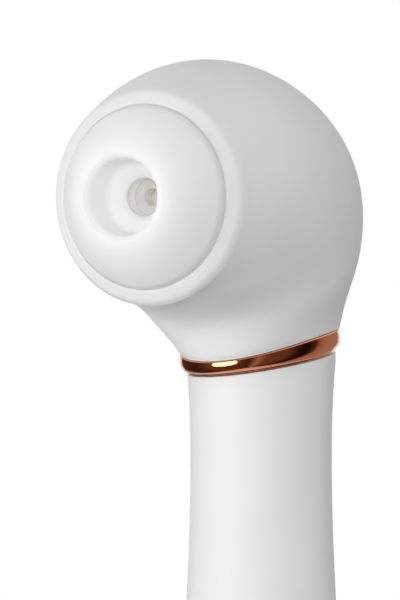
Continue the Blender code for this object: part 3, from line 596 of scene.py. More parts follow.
class NodeTool(Nodes):
    """A Geometry Nodes tree with named inputs, that turns a base mesh into a plain one."""

    def __init__(self, name: str, **asked: str) -> None:
        """Starts a tree that asks for a geometry and, last, for a finish.

        Args:
            name: the tree's name.
            asked: the kind of each other input, by name with _ for a space.
        """
        super().__init__(bpy.data.node_groups.new(name, "GeometryNodeTree"))
        sides = self.tree.interface
        for way in ("INPUT", "OUTPUT"):
            sides.new_socket("Geometry", in_out=way, socket_type="NodeSocketGeometry")
        self.sockets: dict[str, str] = {}
        for key, kind in (asked | {"Finish": "Material"}).items():
            made = sides.new_socket(key.replace("_", " "), in_out="INPUT", socket_type=f"NodeSocket{kind}")
            self.sockets[key] = made.identifier
        self.given = self.add("NodeGroupInput").outputs

    def end(self, geometry: Socket) -> None:
        """Ends the tree in Realize Instances and Set Material.

        Args:
            geometry: what the tree has made.
        """
        real = self.add("GeometryNodeRealizeInstances", Geometry=geometry)
        dressed = self.add("GeometryNodeSetMaterial", Geometry=real.outputs[0],
                           Material=self.given["Finish"])
        self.add("NodeGroupOutput", Geometry=dressed.outputs[0])

    def end_in_copies(self, x: Socket, y: object = 0.0) -> None:
        """Ends the tree in Count copies of its geometry.

        Args:
            x: X of each copy, by its index.
            y: Y of each copy.
        """
        place = self.add("ShaderNodeCombineXYZ", X=x, Y=y)
        points = self.add("GeometryNodePoints", Count=self.given["Count"], Position=place.outputs[0])
        copies = self.add("GeometryNodeInstanceOnPoints", Points=points.outputs[0],
                          Instance=self.given["Geometry"])
        self.end(copies.outputs[0])

    def run(self, piece: Piece, finish: Finish, **values: float) -> None:
        """Runs the tree on a piece and keeps the result as its plain mesh.

        Args:
            piece: the piece, whose mesh is the tree's geometry input.
            finish: the material that the tree sets.
            values: the tree's other inputs, by name with _ for a space.
        """
        step = piece.modifiers.new(self.tree.name, "NODES")
        step.node_group = self.tree
        step[self.sockets["Finish"]] = finish.material()
        for key, value in values.items():
            step[self.sockets[key]] = value
        keep_result(piece)


def circle_tool() -> NodeTool:
    """Builds the tree that sets copies of a piece round a circle.

    Returns:
        A tree with inputs Count, Pitch Radius, First Angle and Finish.
    """
    tool = NodeTool("set_round_a_circle", Count="Int", Pitch_Radius="Float", First_Angle="Float")
    index = tool.add("GeometryNodeInputIndex").outputs[0]
    step = tool.math("DIVIDE", 2 * math.pi, tool.given["Count"])
    angle = tool.math("ADD", tool.math("MULTIPLY", index, step), tool.given["First Angle"])
    waves = [tool.math(wave, angle) for wave in ("COSINE", "SINE")]
    tool.end_in_copies(*(tool.math("MULTIPLY", wave, tool.given["Pitch Radius"]) for wave in waves))
    return tool


def row_tool() -> NodeTool:
    """Builds the tree that sets copies of a piece in a straight row along X.

    Returns:
        A tree with inputs Count, Pitch and Finish.
    """
    tool = NodeTool("set_in_a_row", Count="Int", Pitch="Float")
    index = tool.add("GeometryNodeInputIndex").outputs[0]
    middle = tool.math("DIVIDE", tool.math("SUBTRACT", tool.given["Count"], 1.0), 2.0)
    tool.end_in_copies(tool.math("MULTIPLY", tool.math("SUBTRACT", index, middle), tool.given["Pitch"]))
    return tool


def slant_tool() -> NodeTool:
    """Builds the tree that leans a level ring into the slanted, saddle-shaped trim.

    Returns:
        A tree with inputs Slope, Saddle, Lean, Height and Finish.
    """
    tool = NodeTool("slant_and_saddle", Slope="Float", Saddle="Float", Lean="Float", Height="Float")
    position = tool.add("GeometryNodeInputPosition").outputs[0]
    parts = tool.add("ShaderNodeSeparateXYZ", Vector=position).outputs
    share = tool.math("DIVIDE", parts["Z"], tool.given["Height"])
    across = tool.math("MULTIPLY", parts["X"], parts["X"])
    along = tool.math("MULTIPLY", parts["Y"], parts["Y"])
    cosine_squared = tool.math("DIVIDE", across, tool.math("ADD", across, along))
    wave = tool.math("MULTIPLY", tool.math("SUBTRACT", cosine_squared, SADDLE_MEAN), tool.given["Saddle"])
    slant = tool.math("MULTIPLY", parts["Y"], tool.given["Slope"])
    rise = tool.math("ADD", slant, tool.math("MULTIPLY", wave, share))
    back = tool.math("MULTIPLY", tool.math("MULTIPLY", share, tool.given["Lean"]), -1.0)
    offset = tool.add("ShaderNodeCombineXYZ", Y=back, Z=rise)
    moved = tool.add("GeometryNodeSetPosition", Geometry=tool.given["Geometry"], Offset=offset.outputs[0])
    tool.end(moved.outputs[0])
    return tool


@dataclass(frozen=True)
class Nozzle:
    """The suction cup's axis, from where it meets the handle's axis."""

    trim_top: float = 125.4 * MM
    pitch: float = math.radians(-12.9)
    height: float = 31.67 * MM
    reach: float = 47.59 * MM

    def front(self, depth: float = 0.0) -> Matrix:
        """Gives the cup's frame: +Z out of the cup and +Y up.

        Args:
            depth: how far past the bead it lies.

        Returns:
            The frame.
        """
        turn = Matrix.Rotation(math.pi / 2 - self.pitch, 4, "X")
        root = Matrix.Translation((0, 0, self.trim_top + self.height)) @ turn
        return root @ Matrix.Translation((0, 0, self.reach + depth))

    def point(self, up: float) -> Vector:
        """Gives (y, z) in the world for a height off the axis, level with the bead."""
        return (self.front() @ Vector((0, up, 0))).yz


class Rail:
    """A smooth curve through a few points, with even bending along it."""

    def __init__(self, points: Sequence[Vector]) -> None:
        """Works out how the curve bends at each point.

        Args:
            points: what it runs through, in order.
        """
        self.points = np.array([tuple(p) for p in points])
        count = len(points)
        system = np.eye(count)
        right = np.zeros_like(self.points)
        for i in range(1, count - 1):
            system[i, i - 1:i + 2] = (1, 4, 1)
            right[i] = 6 * (self.points[i + 1] - 2 * self.points[i] + self.points[i - 1])
        self.bends = np.linalg.solve(system, right)

    def at(self, share: float) -> Vector:
        """Gives the point at a share of the way along.

        Args:
            share: 0 at the first point and 1 at the last.

        Returns:
            The point.
        """
        spans = len(self.points) - 1
        i = min(int(share * spans), spans - 1)
        t = share * spans - i
        s = 1 - t
        bend = ((s ** 3 - s) * self.bends[i] + (t ** 3 - t) * self.bends[i + 1]) / 6
        return Vector(s * self.points[i] + t * self.points[i + 1] + bend)


@dataclass
class TrimRing:
    """Polished ring between handle and head."""

    handle_length: float = 122.0 * MM
    height: float = 3.4 * MM
    slope: float = math.tan(math.radians(18.3))
    saddle: float = 1.8 * MM
    lean: float = 0.6 * MM
    lower_r: float = 15.4 * MM
    upper_r: float = 16.5 * MM
    wall: float = 4.1 * MM
    crown: float = 0.13 * MM
    roll: float = 4.0
    edge: float = 0.30 * MM
    face_steps: int = 16

    def outline(self) -> Outline:
        """Gives the level ring's section: a crowned face between two small rounded edges.

        Returns:
            (radius, height) points, closed on themselves.
        """
        inner, quarter = self.upper_r - self.wall, quarter_turn()
        points: Outline = [(inner, self.height), (inner, 0.0)]
        points += [(self.face(0.0) - self.edge * s, self.edge * c) for c, s in quarter[:-1]]
        flat = self.height - 2 * self.edge
        points += [(self.face(share), self.edge + flat * share) for share in shares(self.face_steps)]
        points += [(self.face(1.0) - self.edge * c, self.height - self.edge * s) for c, s in quarter[1:]]
        return points

    def face(self, share: float) -> float:
        """Gives the radius of the crowned face at a share of the way up between its edges."""
        rise = 1 - (1 - share) ** self.roll
        return self.lower_r + (self.upper_r - self.lower_r) * rise + self.crown * (1 - (2 * share - 1) ** 2)

    def build(self) -> None:
        """Turns the level ring, then leans it with the slant tool."""
        piece = to_object("trim_ring_polished", turned(self.outline()), ROSE_GOLD)
        slant_tool().run(piece, ROSE_GOLD, Slope=self.slope, Saddle=self.saddle, Lean=self.lean,
                         Height=self.height)
        piece.data.transform(Matrix.Translation((0, 0, self.handle_length)))
        settle(piece, Body.DEVICE, "rose_gold", "trim_ring")


@dataclass
class HeadSkin:
    """Soft skin of the head: ovals between two rails, from the slanted neck to the round bead."""

    nozzle: Nozzle
    trim: TrimRing
    bead_r: float = 20.79 * MM
    bead_height: float = 2.1 * MM
    bead_bend_in: float = 0.75 * MM
    bead_bend_rise: float = 1.3 * MM
    bead_bend_round: float = 4.0 * MM
    bead_crest_in: float = 2.6 * MM
    bead_crest_round: float = 2.0 * MM
    bead_lip_r: float = 17.66 * MM
    bead_lip_depth: float = 2.06 * MM
    bead_lip_back: float = 0.9 * MM
    thickness: float = 2.0 * MM
    soft_edge: float = 0.35 * MM
    neck_blend: float = 0.2
    first_row: float = 0.03
    rows: int = 130
    inner_rows: int = 40
    back_marks: tuple = ((59.13 * MM, 12.66 * MM), (41.54 * MM, 30.0 * MM), (16.18 * MM, 31.91 * MM))
    front_marks: tuple = ((23.75 * MM, -20.8 * MM), (15.89 * MM, -19.25 * MM), (8.89 * MM, -19.15 * MM))
    back: Rail = field(init=False)
    front: Rail = field(init=False)

    def __post_init__(self) -> None:
        """Lays the rails over the head's back and under its front."""
        self.back = self.rail(1, self.back_marks)
        self.front = self.rail(-1, self.front_marks)

    def rail(self, side: int, marks: Sequence[tuple[float, float]]) -> Rail:
        """Lays one rail from the neck to the bead.

        Args:
            side: 1 at the back and -1 at the front.
            marks: (y, z) of the points between, from the middle of the bead.

        Returns:
            The rail.
        """
        bead = self.nozzle.point(0)
        neck = Vector((self.trim.upper_r, self.trim.upper_r * self.trim.slope))
        seat = Vector((-self.trim.lean, self.nozzle.trim_top + SEAM))
        between = (bead + Vector(mark) for mark in marks)
        return Rail([seat + neck * side, *between, self.nozzle.point(side * self.bead_r)])

    def build(self) -> None:
        """Lofts the outer side, the bead and the inner side into one closed skin."""
        rings = [self.section(0.0, self.soft_edge * s, self.soft_edge * c) for c, s in quarter_turn()]
        first = self.first_row
        rings += [self.section(first + (1 - first) * share, 0.0) for share in shares(self.rows)]
        rings += self.bead()
        rings += [self.section(1 - share, self.thickness) for share in shares(self.inner_rows)]
        piece = to_object("head_skin_soft", skin_rows(rings, closed=True), SKIN)
        settle(piece, Body.DEVICE, "skin_silicone", "head_skin")

    def section(self, share: float, inset: float, lift: float = 0.0) -> Ring:
        """Gives one oval section.

        Args:
            share: 0 at the neck and 1 at the bead.
            inset: how far it is drawn in from the outside.
            lift: how far it is raised.

        Returns:
            Its points, in the world.
        """
        top, low = self.back.at(share), self.front.at(share)
        middle, way = (top + low) / 2, (top - low).normalized()
        half = (top - low).length / 2
        t = min(1.0, share / self.neck_blend)
        slant = 1 - t * t * (3 - 2 * t)
        level = math.cos(math.atan(self.trim.slope))
        wide = half * (1 - slant * (1 - level))
        points = []
        for c, s in full_turn():
            off = middle + way * ((half - inset) * s)
            wave = self.trim.saddle * (c ** 2 - SADDLE_MEAN)
            points.append(Vector(((wide - inset) * c, off.x, off.y + slant * wave + lift)))
        return points

    def bead(self) -> list[Ring]:
        """Gives the round shoulder that ends the skin.

        Returns:
            Its rings, from outside to inside.
        """
        corners = (
            (self.bead_r, 0.0, 0.0),
            (self.bead_r - self.bead_bend_in, self.bead_bend_rise, self.bead_bend_round),
            (self.bead_r - self.bead_crest_in, self.bead_height, self.bead_crest_round),
            (self.bead_lip_r, self.bead_lip_depth, 0.0),
            (self.bead_lip_r, self.bead_lip_back, 0.0),
            (self.bead_r - self.thickness, self.bead_lip_back, 0.0),
        )
        rings, circle = [], full_turn()
        for r, depth in rounded(corners)[1:]:
            place = self.nozzle.front(depth)
            rings.append([place @ Vector((r * c, r * s, 0)) for c, s in circle])
        return rings


@dataclass
class SuctionCup:
    """Removable soft cup round a core, as radii and depths past the bead."""

    nozzle: Nozzle
    foot_r: float = 17.64 * MM
    foot_depth: float = 2.05 * MM
    foot_round: float = 0.03 * MM
    wall_r: float = 17.42 * MM
    wall_depth: float = 2.2 * MM
    wall_round: float = 0.8 * MM
    edge_r: float = 16.95 * MM
    edge_depth: float = 3.45 * MM
    edge_round: float = 1.6 * MM
    crest_r: float = 8.5 * MM
    lip_depth: float = 10.45 * MM
    roll: float = 1.6
    face_steps: int = 28
    mouth_r: float = 7.25 * MM
    mouth_drop: float = 1.5 * MM
    bowl_r: float = 6.75 * MM
    bowl_depth: float = 4.0 * MM
    bowl_round: float = 2.0 * MM
    throat_r: float = 3.67 * MM
    throat_depth: float = 1.75 * MM
    throat_round: float = 0.35 * MM
    floor_depth: float = -1.31 * MM
    hole_r: float = 1.68 * MM
    core_r: float = 4.6 * MM
    core_depth: float = 1.25 * MM
    back_depth: float = -0.6 * MM
    plug_r: float = 7.0 * MM
    plug_length: float = 3.2 * MM

    @property
    def plug_back(self) -> float:
        """Gives where the plug ends."""
        return self.back_depth - GAP - self.plug_length

    def build(self) -> None:
        """Makes the soft cup, then its core."""
        self.build_soft()
        self.build_core()

    def build_soft(self) -> None:
        """Turns the cup with its rolled face, bowl and plug."""
        face = self.face()
        corners = (
            *((r, depth, 0.0) for r, depth in face[:-1]),
            (*face[-1], self.edge_round),
            (self.wall_r, self.wall_depth, self.wall_round),
            (self.foot_r, self.foot_depth, self.foot_round),
            (self.foot_r, self.back_depth, GAP),
            (self.plug_r, self.back_depth, GAP),
            (self.plug_r, self.plug_back, GAP),
            (self.core_r, self.plug_back, 0.0),
            (self.core_r, self.core_depth, 0.0),
            (self.throat_r, self.core_depth, 0.0),
            (self.throat_r, self.throat_depth, self.throat_round),
            (self.bowl_r, self.bowl_depth, self.bowl_round),
            *((r, depth, 0.0) for r, depth in self.mouth()),
        )
        piece = to_object("suction_cup_soft", turned(rounded(corners)), CUP, self.nozzle.front())
        # Painted light: the bowl's faces take the paler white, brightening the hollow.
        rim_r = (self.mouth_r + self.crest_r) / 2
        self.dress_zone(piece, CUP_BOWL_PAINTED_LIGHT, (0.0, rim_r), (self.core_depth, self.lip_depth))
        settle(piece, Body.CUP, "cup_silicone", "suction_cup")

    def build_core(self) -> None:
        """Turns the core with the throat's floor and hole, its walls painted lighter and its floor painted
        darker.
        """
        side, top = self.core_r - SEAM, self.core_depth - SEAM
        corners = (
            (side, self.plug_back, 0.0), (self.hole_r, self.plug_back, 0.0),
            (self.hole_r, self.floor_depth, GAP / 2), (self.throat_r, self.floor_depth, GAP),
            (self.throat_r, top, 0.0), (side, top, 0.0),
        )
        # Painted light and shade: the core's walls take the paler white, and the floor ring between hole and
        # throat takes the darker grey.
        core = to_object("suction_cup_core", turned(rounded(corners)), CUP_THROAT_PAINTED_LIGHT, self.nozzle.front())
        self.dress_zone(core, CUP_FLOOR_PAINTED_SHADE, (self.hole_r + HAIR, self.throat_r - HAIR),
                        (self.floor_depth - GAP, self.floor_depth + GAP))
        settle(core, Body.CUP, "cup_silicone")

    def dress_zone(self, piece: Piece, finish: Finish, radii: tuple[float, float],
                   depths: tuple[float, float]) -> None:
        """Gives part of a turned piece a finish of its own.

        Args:
            piece: the cup or its core.
            finish: what that part looks like.
            radii: where it begins and ends round the cup's axis.
            depths: its lowest and highest depth past the bead.
        """
        piece.data.materials.append(finish.material())
        back = self.nozzle.front().inverted()
        for face in piece.data.polygons:
            spot = back @ face.center
            if radii[0] < spot.xy.length < radii[1] and depths[0] < spot.z < depths[1]:
                face.material_index = 1

    def face(self) -> Outline:
        """Gives the cup's face, flat at the crest of the lip.

        Returns:
            (radius, depth) points from the crest to the front edge.
        """
        width, drop = self.edge_r - self.crest_r, self.lip_depth - self.edge_depth
        return [(self.crest_r + width * share, self.lip_depth - drop * share ** self.roll)
                for share in shares(self.face_steps)]

    def mouth(self) -> Outline:
        """Gives the inside of the lip.

        Returns:
            (radius, depth) points from the bowl's wall up to just short of the crest.
        """
        width = self.crest_r - self.mouth_r
        return [(self.crest_r - width * (1 - c), self.lip_depth - self.mouth_drop * s)
                for c, s in quarter_turn(2 * ARC_STEPS)[:-1]]


@dataclass
class Screw:
    """Small pan-head screw with a six-sided driver socket, its head's underside at the origin."""

    tool: NodeTool
    shank_r: float = 0.9 * MM
    head_r: float = 1.8 * MM
    head_height: float = 1.2 * MM
    socket_r: float = 0.8 * MM
    socket_sides: int = 6

    def build(self, name: str, length: float, count: int, pitch_r: float, first: float) -> Piece:
        """Turns one screw, cuts its socket and sets copies of it round a circle.

        Args:
            name: the piece's name.
            length: how far a shank reaches below the head.
            count: how many screws there are.
            pitch_r: the circle's radius.
            first: angle of the first screw.

        Returns:
            The screws as one piece.
        """
        corners = (
            (0.0, self.head_height, 0.0), (self.head_r, self.head_height, self.head_height / 2),
            (self.head_r, 0.0, GAP / 3), (self.shank_r, 0.0, 0.0), (self.shank_r, -length + GAP, 0.0),
            (self.shank_r - GAP, -length, 0.0), (0.0, -length, 0.0),
        )
        piece = to_object(name, turned(rounded(corners), SMALL_ROUND), STEEL)
        carve(piece, [rod(self.socket_r, self.head_height / 2, self.head_height * 2, self.socket_sides)])
        self.tool.run(piece, STEEL, Count=count, Pitch_Radius=pitch_r, First_Angle=first)
        return piece

    def hole(self, x: float, y: float, mouth: float, seat: float, end: float) -> Shape:
        """Makes the stepped hole that a screw sits in, for cutting.

        Args:
            x: place of its axis.
            y: place of its axis.
            mouth: where it starts, outside the piece.
            seat: where the head rests.
            end: where it ends, past the piece.

        Returns:
            The hole's shape.
        """
        sink, shank = self.head_r + GAP, self.shank_r + GAP
        work = turned([(0.0, mouth), (sink, mouth), (sink, seat), (shank, seat), (shank, end), (0.0, end)],
                      SMALL_ROUND)
        work.transform(Matrix.Translation((x, y, 0)))
        return work


@dataclass
class NosePlate:
    """Hard plate behind the cup, held by four sunk screws."""

    nozzle: Nozzle
    outer_r: float = 18.3 * MM
    bore_r: float = 7.3 * MM
    front_depth: float = -0.9 * MM
    thickness: float = 3.2 * MM
    shell_wall: float = 2.4 * MM
    screw_count: int = 4
    screw_pitch_r: float = 13.5 * MM
    screw_first: float = math.radians(45)
    edge: float = 0.4 * MM

    def build(self, screw: Screw) -> None:
        """Makes the plate with its screw seats, then the screws.

        Args:
            screw: the kind of screw that holds it.
        """
        front, back = self.front_depth, self.front_depth - self.thickness
        corners = (
            (self.outer_r, front, self.edge), (self.outer_r, back, self.edge),
            (self.bore_r, back, 0.0), (self.bore_r, front, self.edge),
        )
        piece = to_object("nose_plate_fine", turned(rounded(corners)), INNER_WHITE)
        seat = front - screw.head_height - GAP
        angles = [self.screw_first + 2 * math.pi * i / self.screw_count for i in range(self.screw_count)]
        carve(piece, [screw.hole(self.screw_pitch_r * math.cos(a), self.screw_pitch_r * math.sin(a),
                                 GAP, seat, back - GAP) for a in angles])
        piece.data.transform(self.nozzle.front())
        settle(piece, Body.DEVICE, "inner_white", "nose_plate")

        length = self.thickness - screw.head_height + self.shell_wall
        screws = screw.build("nose_screws", length, self.screw_count, self.screw_pitch_r, self.screw_first)
        screws.data.transform(self.nozzle.front(seat + GAP))
        names = [f"nose_screw_{i + 1}" for i in range(self.screw_count)]
        settle(screws, Body.DEVICE, "screw_steel", *names)


@dataclass
class Grip:
    """One-piece handle shell with its slanted top and the openings at its back."""

    trim: TrimRing
    bottom: float = 3.8 * MM
    base_r: float = 15.6 * MM
    belly_r: float = 16.6 * MM
    belly_z: float = 30 * MM
    waist_r: float = 14.45 * MM
    waist_drop: float = 24 * MM
    flare: float = 2.5
    bore_r: float = 12.4 * MM
    edge: float = 0.35 * MM
    rows: int = 150
    power_drop: float = 30 * MM
    mode_drop: float = 46 * MM
    button_r: float = 4.2 * MM
    pipe_r: float = 1.1 * MM
    socket_width: float = 9.0 * MM
    socket_height: float = 3.3 * MM
    socket_z: float = 19 * MM

    def radius(self, z: float) -> float:
        """Gives the outer radius at a height: narrow foot, fuller belly, waist, then the trim ring.

        Args:
            z: the height.

        Returns:
            The radius.
        """
        waist_z = self.trim.handle_length - self.waist_drop
        if z < self.belly_z:
            share = (self.belly_z - z) / self.belly_z
            return self.belly_r - (self.belly_r - self.base_r) * share ** 2
        if z < waist_z:
            share = (z - self.belly_z) / (waist_z - self.belly_z)
            return self.belly_r + (self.waist_r - self.belly_r) * share ** 2 * (3 - 2 * share)
        share = min(1.0, (z - waist_z) / self.waist_drop)
        return self.waist_r + (self.trim.lower_r - self.waist_r) * share ** self.flare

    def heights(self) -> dict[str, float]:
        """Gives where the controls are.

        Returns:
            The height of each control by its name.
        """
        power = self.trim.handle_length - self.power_drop
        mode = self.trim.handle_length - self.mode_drop
        return {"power": power, "mode": mode, "pipe": (power + mode) / 2}

    def ring(self, share: float, inset: float = 0.0, drop: float = 0.0, inside: bool = False) -> Ring:
        """Gives one ring, level at the foot and slanted at the top.

        Args:
            share: 0 at the foot and 1 at the slanted top.
            inset: how far it is drawn in from the outside.
            drop: how far it lies below that place.
            inside: True puts it on the bore.

        Returns:
            Its points.
        """
        points = []
        reach = self.bore_r if inside else self.trim.lower_r
        for c, s in full_turn():
            slanted = self.trim.handle_length - SEAM + reach * s * self.trim.slope
            z = self.bottom + share * (slanted - self.bottom) - drop
            r = self.bore_r if inside else self.radius(z) - inset
            points.append(Vector((r * c, r * s, z)))
        return points

    def edge_rings(self, share: float, way: float) -> list[Ring]:
        """Gives the rounding at an end, whose face is above (way 1) or below (way -1)."""
        return [self.ring(share, self.edge * c, way * self.edge * s) for c, s in quarter_turn()[1:]]

    def build(self) -> None:
        """Lofts the shell and cuts the openings for buttons, light pipe and charging socket."""
        margin = self.edge / self.trim.handle_length
        rings = self.edge_rings(0.0, -1.0)[::-1]
        rings += [self.ring(margin + (1 - 2 * margin) * share) for share in shares(self.rows)]
        rings += self.edge_rings(1.0, 1.0)
        rings += [self.ring(1.0, inside=True), self.ring(0.0, inside=True)]
        piece = to_object("handle_shell_fine", skin_rows(rings, closed=True), GRIP_WHITE)
        heights = self.heights()
        outside, inside = 2 * self.belly_r, self.bore_r / 2
        cutters = []
        for name, r in (("power", self.button_r), ("mode", self.button_r), ("pipe", self.pipe_r)):
            bar = rod(r + GAP, inside, outside)
            bar.transform(self.place(heights[name]))
            cutters.append(bar)
        wide, tall = self.socket_width + 2 * GAP, self.socket_height + 2 * GAP
        cutters.append(slot_bar(self.socket_z, (wide, tall, inside), (wide, tall, outside)))
        carve(piece, cutters)
        settle(piece, Body.DEVICE, "handle_white", "handle_shell")

    @staticmethod
    def place(z: float) -> Matrix:
        """Gives the frame of a control at a height: its own Z axis looks out of the back."""
        return Matrix.Translation((0, 0, z)) @ Matrix.Rotation(-math.pi / 2, 4, "X")


@dataclass
class Controls:
    """Push buttons, light pipe and charging socket at the handle's back."""

    grip: Grip
    seat: float = 9.6 * MM
    rim: float = 0.9 * MM
    rim_height: float = 1.0 * MM
    proud: float = 0.5 * MM
    dish: float = 0.28 * MM
    dish_r: float = 3.4 * MM
    dish_steps: int = 14
    pipe_start: float = 7.8 * MM
    socket_back: float = 6.5 * MM
    socket_wall: float = 0.35 * MM
    socket_depth: float = 6.5 * MM
    tongue_width: float = 6.3 * MM
    pad_count: int = 12
    pad_pitch: float = 0.5 * MM
    pad_width: float = 0.275 * MM
    pad_length: float = 3.9 * MM
    pad_height: float = 0.07 * MM
    pad_drop: float = 2.275 * MM

    def build(self) -> None:
        """Makes the four controls."""
        for name, body in (("power", Body.POWER), ("mode", Body.MODE)):
            self.build_button(name, body)
        self.build_pipe()
        self.build_socket()
        self.build_contacts()

    def build_button(self, name: str, body: Body) -> None:
        """Turns a round button with a dished face and a rim that keeps it in.

        Args:
            name: power or mode.
            body: what it moves with.
        """
        z = self.grip.heights()[name]
        r = self.grip.button_r
        face = self.grip.radius(z) + self.proud
        outline: Outline = [(self.dish_r * share, face - self.dish * (1 - share ** 2) ** 2)
                            for share in shares(self.dish_steps)]
        outline += [(r - self.proud * c, face - self.proud * s) for c, s in reversed(quarter_turn())]
        shoulder = self.seat + self.rim_height
        outline += [(r, shoulder), (r + self.rim, shoulder), (r + self.rim, self.seat), (0.0, self.seat)]
        work = turned(outline, SMALL_ROUND)
        piece = to_object(f"{name}_button_fine", work, BUTTON_WHITE, self.grip.place(z))
        settle(piece, body, "button_white", f"{name}_button")

    def build_pipe(self) -> None:
        """Turns the light pipe with its slightly domed end."""
        z = self.grip.heights()["pipe"]
        r, end = self.grip.pipe_r, self.grip.radius(z)
        corners = ((0.0, end, 0.0), (r, end, r / 2), (r, self.pipe_start, 0.0), (0.0, self.pipe_start, 0.0))
        work = turned(rounded(corners), SMALL_ROUND)
        piece = to_object("light_pipe_fine", work, CLEAR, self.grip.place(z))
        settle(piece, Body.DEVICE, "clear_pipe", "light_pipe")

    def socket_mouth(self) -> float:
        """Gives where the charging socket ends, just inside the handle's surface."""
        return self.grip.radius(self.grip.socket_z) - GAP

    def build_socket(self) -> None:
        """Makes the socket's drawn shell with its tongue."""
        mouth, z, thin = self.socket_mouth(), self.grip.socket_z, 2 * self.socket_wall
        floor = mouth - self.socket_depth
        wide, tall = self.grip.socket_width, self.grip.socket_height
        work = slot_bar(z, (wide, tall, self.socket_back), (wide, tall, mouth),
                        (wide - thin, tall - thin, mouth), (wide - thin, tall - thin, floor))
        tongue = as_mesh("tongue", slot_bar(z, (self.tongue_width, thin, floor - self.socket_wall),
                                            (self.tongue_width, thin, mouth - self.socket_wall)))
        work.from_mesh(tongue)
        bpy.data.meshes.remove(tongue)
        settle(to_object("charge_socket_fine", work, SOCKET), Body.DEVICE, "socket_steel", "charge_socket")

    def build_contacts(self) -> None:
        """Makes the row of contacts on the socket's tongue."""
        pad = bmesh.new()
        size = Matrix.Diagonal((self.pad_width, self.pad_length, self.pad_height, 1))
        bmesh.ops.create_cube(pad, size=1, matrix=size)
        pads = to_object("socket_contacts", pad, GOLD_PAD)
        row_tool().run(pads, GOLD_PAD, Count=self.pad_count, Pitch=self.pad_pitch)
        middle = self.socket_mouth() - self.socket_wall - self.pad_drop
        pads.data.transform(Matrix.Translation((0, middle, self.grip.socket_z + self.socket_wall)))
        settle(pads, Body.DEVICE, "socket_steel")


@dataclass
class Base:
    """End cap with its flat foot, the gasket above it and two sunk screws."""

    grip: Grip
    thickness: float = 2.4 * MM
    edge: float = 0.9 * MM
    spigot_length: float = 7 * MM
    gasket_thickness: float = 0.8 * MM
    screw_count: int = 2
    screw_pitch_r: float = 8.5 * MM
    screw_reach: float = 10.6 * MM

    def build(self, screw: Screw) -> None:
        """Makes the cap with its screw seats, the gasket and the screws.

        Args:
            screw: the kind of screw that holds it.
        """
        foot, spigot, floor = self.grip.base_r, self.grip.bore_r - GAP, self.thickness
        top = floor + self.spigot_length
        hollow = self.screw_pitch_r - screw.head_r - 2 * GAP
        corners = (
            (0.0, floor, 0.0), (hollow, floor, 0.0), (hollow, top, 0.0), (spigot, top, GAP),
            (spigot, floor, 0.0), (foot, floor, GAP), (foot, 0.0, self.edge), (0.0, 0.0, 0.0),
        )
        piece = to_object("end_cap_fine", turned(rounded(corners)), GRIP_WHITE)
        seat = screw.head_height + GAP
        carve(piece, [screw.hole(x, 0, -GAP, seat, top + GAP)
                      for x in (-self.screw_pitch_r, self.screw_pitch_r)])
        settle(piece, Body.DEVICE, "handle_white", "end_cap")

        low = floor + GAP
        high = low + self.gasket_thickness
        outer, inner = foot - self.edge, spigot + GAP
        ring = ((outer, high, GAP), (outer, low, GAP), (inner, low, 0.0), (inner, high, 0.0))
        gasket = to_object("base_gasket_fine", turned(rounded(ring)), GASKET)
        settle(gasket, Body.DEVICE, "gasket_rubber", "base_gasket")

        screws = screw.build("base_screws", self.screw_reach, self.screw_count, self.screw_pitch_r, 0.0)
        flip = Matrix.Translation((0, 0, seat - GAP / 2)) @ Matrix.Rotation(math.pi, 4, "X")
        screws.data.transform(flip)
        settle(screws, Body.DEVICE, "screw_steel", "base_screw_left", "base_screw_right")


class Works:
    """The pieces inside, which keep the frame's own shapes."""

    FINISHES: dict[str, Finish] = {
        "head_shell_left": INNER_WHITE, "head_shell_right": INNER_WHITE,
        "suction_port": PORT_GREY, "port_filter": FELT, "port_seal": RUBBER, "air_tube": TUBE,
        "motor_can": MOTOR_STEEL, "motor_cap": BLACK_PLASTIC, "motor_shaft": SHAFT_STEEL,
        "pump_body": GREY_PLASTIC, "eccentric": BRASS, "wobble_plate": INNER_WHITE, "pump_diaphragm": RUBBER,
        "valve_plate": INNER_WHITE, "pump_cover": GREY_PLASTIC, "neck_coupler": GREY_PLASTIC,
        "chassis": BLACK_PLASTIC, "battery_cell": WRAP, "cell_contact_bottom": CONTACT,
        "cell_contact_top": CONTACT, "control_board": BOARD, "power_switch": SWITCH, "mode_switch": SWITCH,
        "indicator_led": LED, "motor_lead_left": BLACK_LEAD, "motor_lead_right": RED_LEAD,
    }

    def dress(self, nodes: dict[str, Piece]) -> None:
        """Gives each piece inside its finish.

        Args:
            nodes: the frame's objects by name.
        """
        for name, finish in self.FINISHES.items():
            slots = nodes[name].data.materials
            slots.clear()
            slots.append(finish.material())
            LOG.info("%s: dressed in %s", name, finish.name)


@dataclass(frozen=True)
class Lamp:
    """A soft lamp that faces the object: its direction in degrees, metres away, size and watts."""

    name: str
    azimuth: float
    elevation: float
    distance: float
    size: tuple[float, float]
    power: float
    spares_floor: bool = False
    glint: bool = False


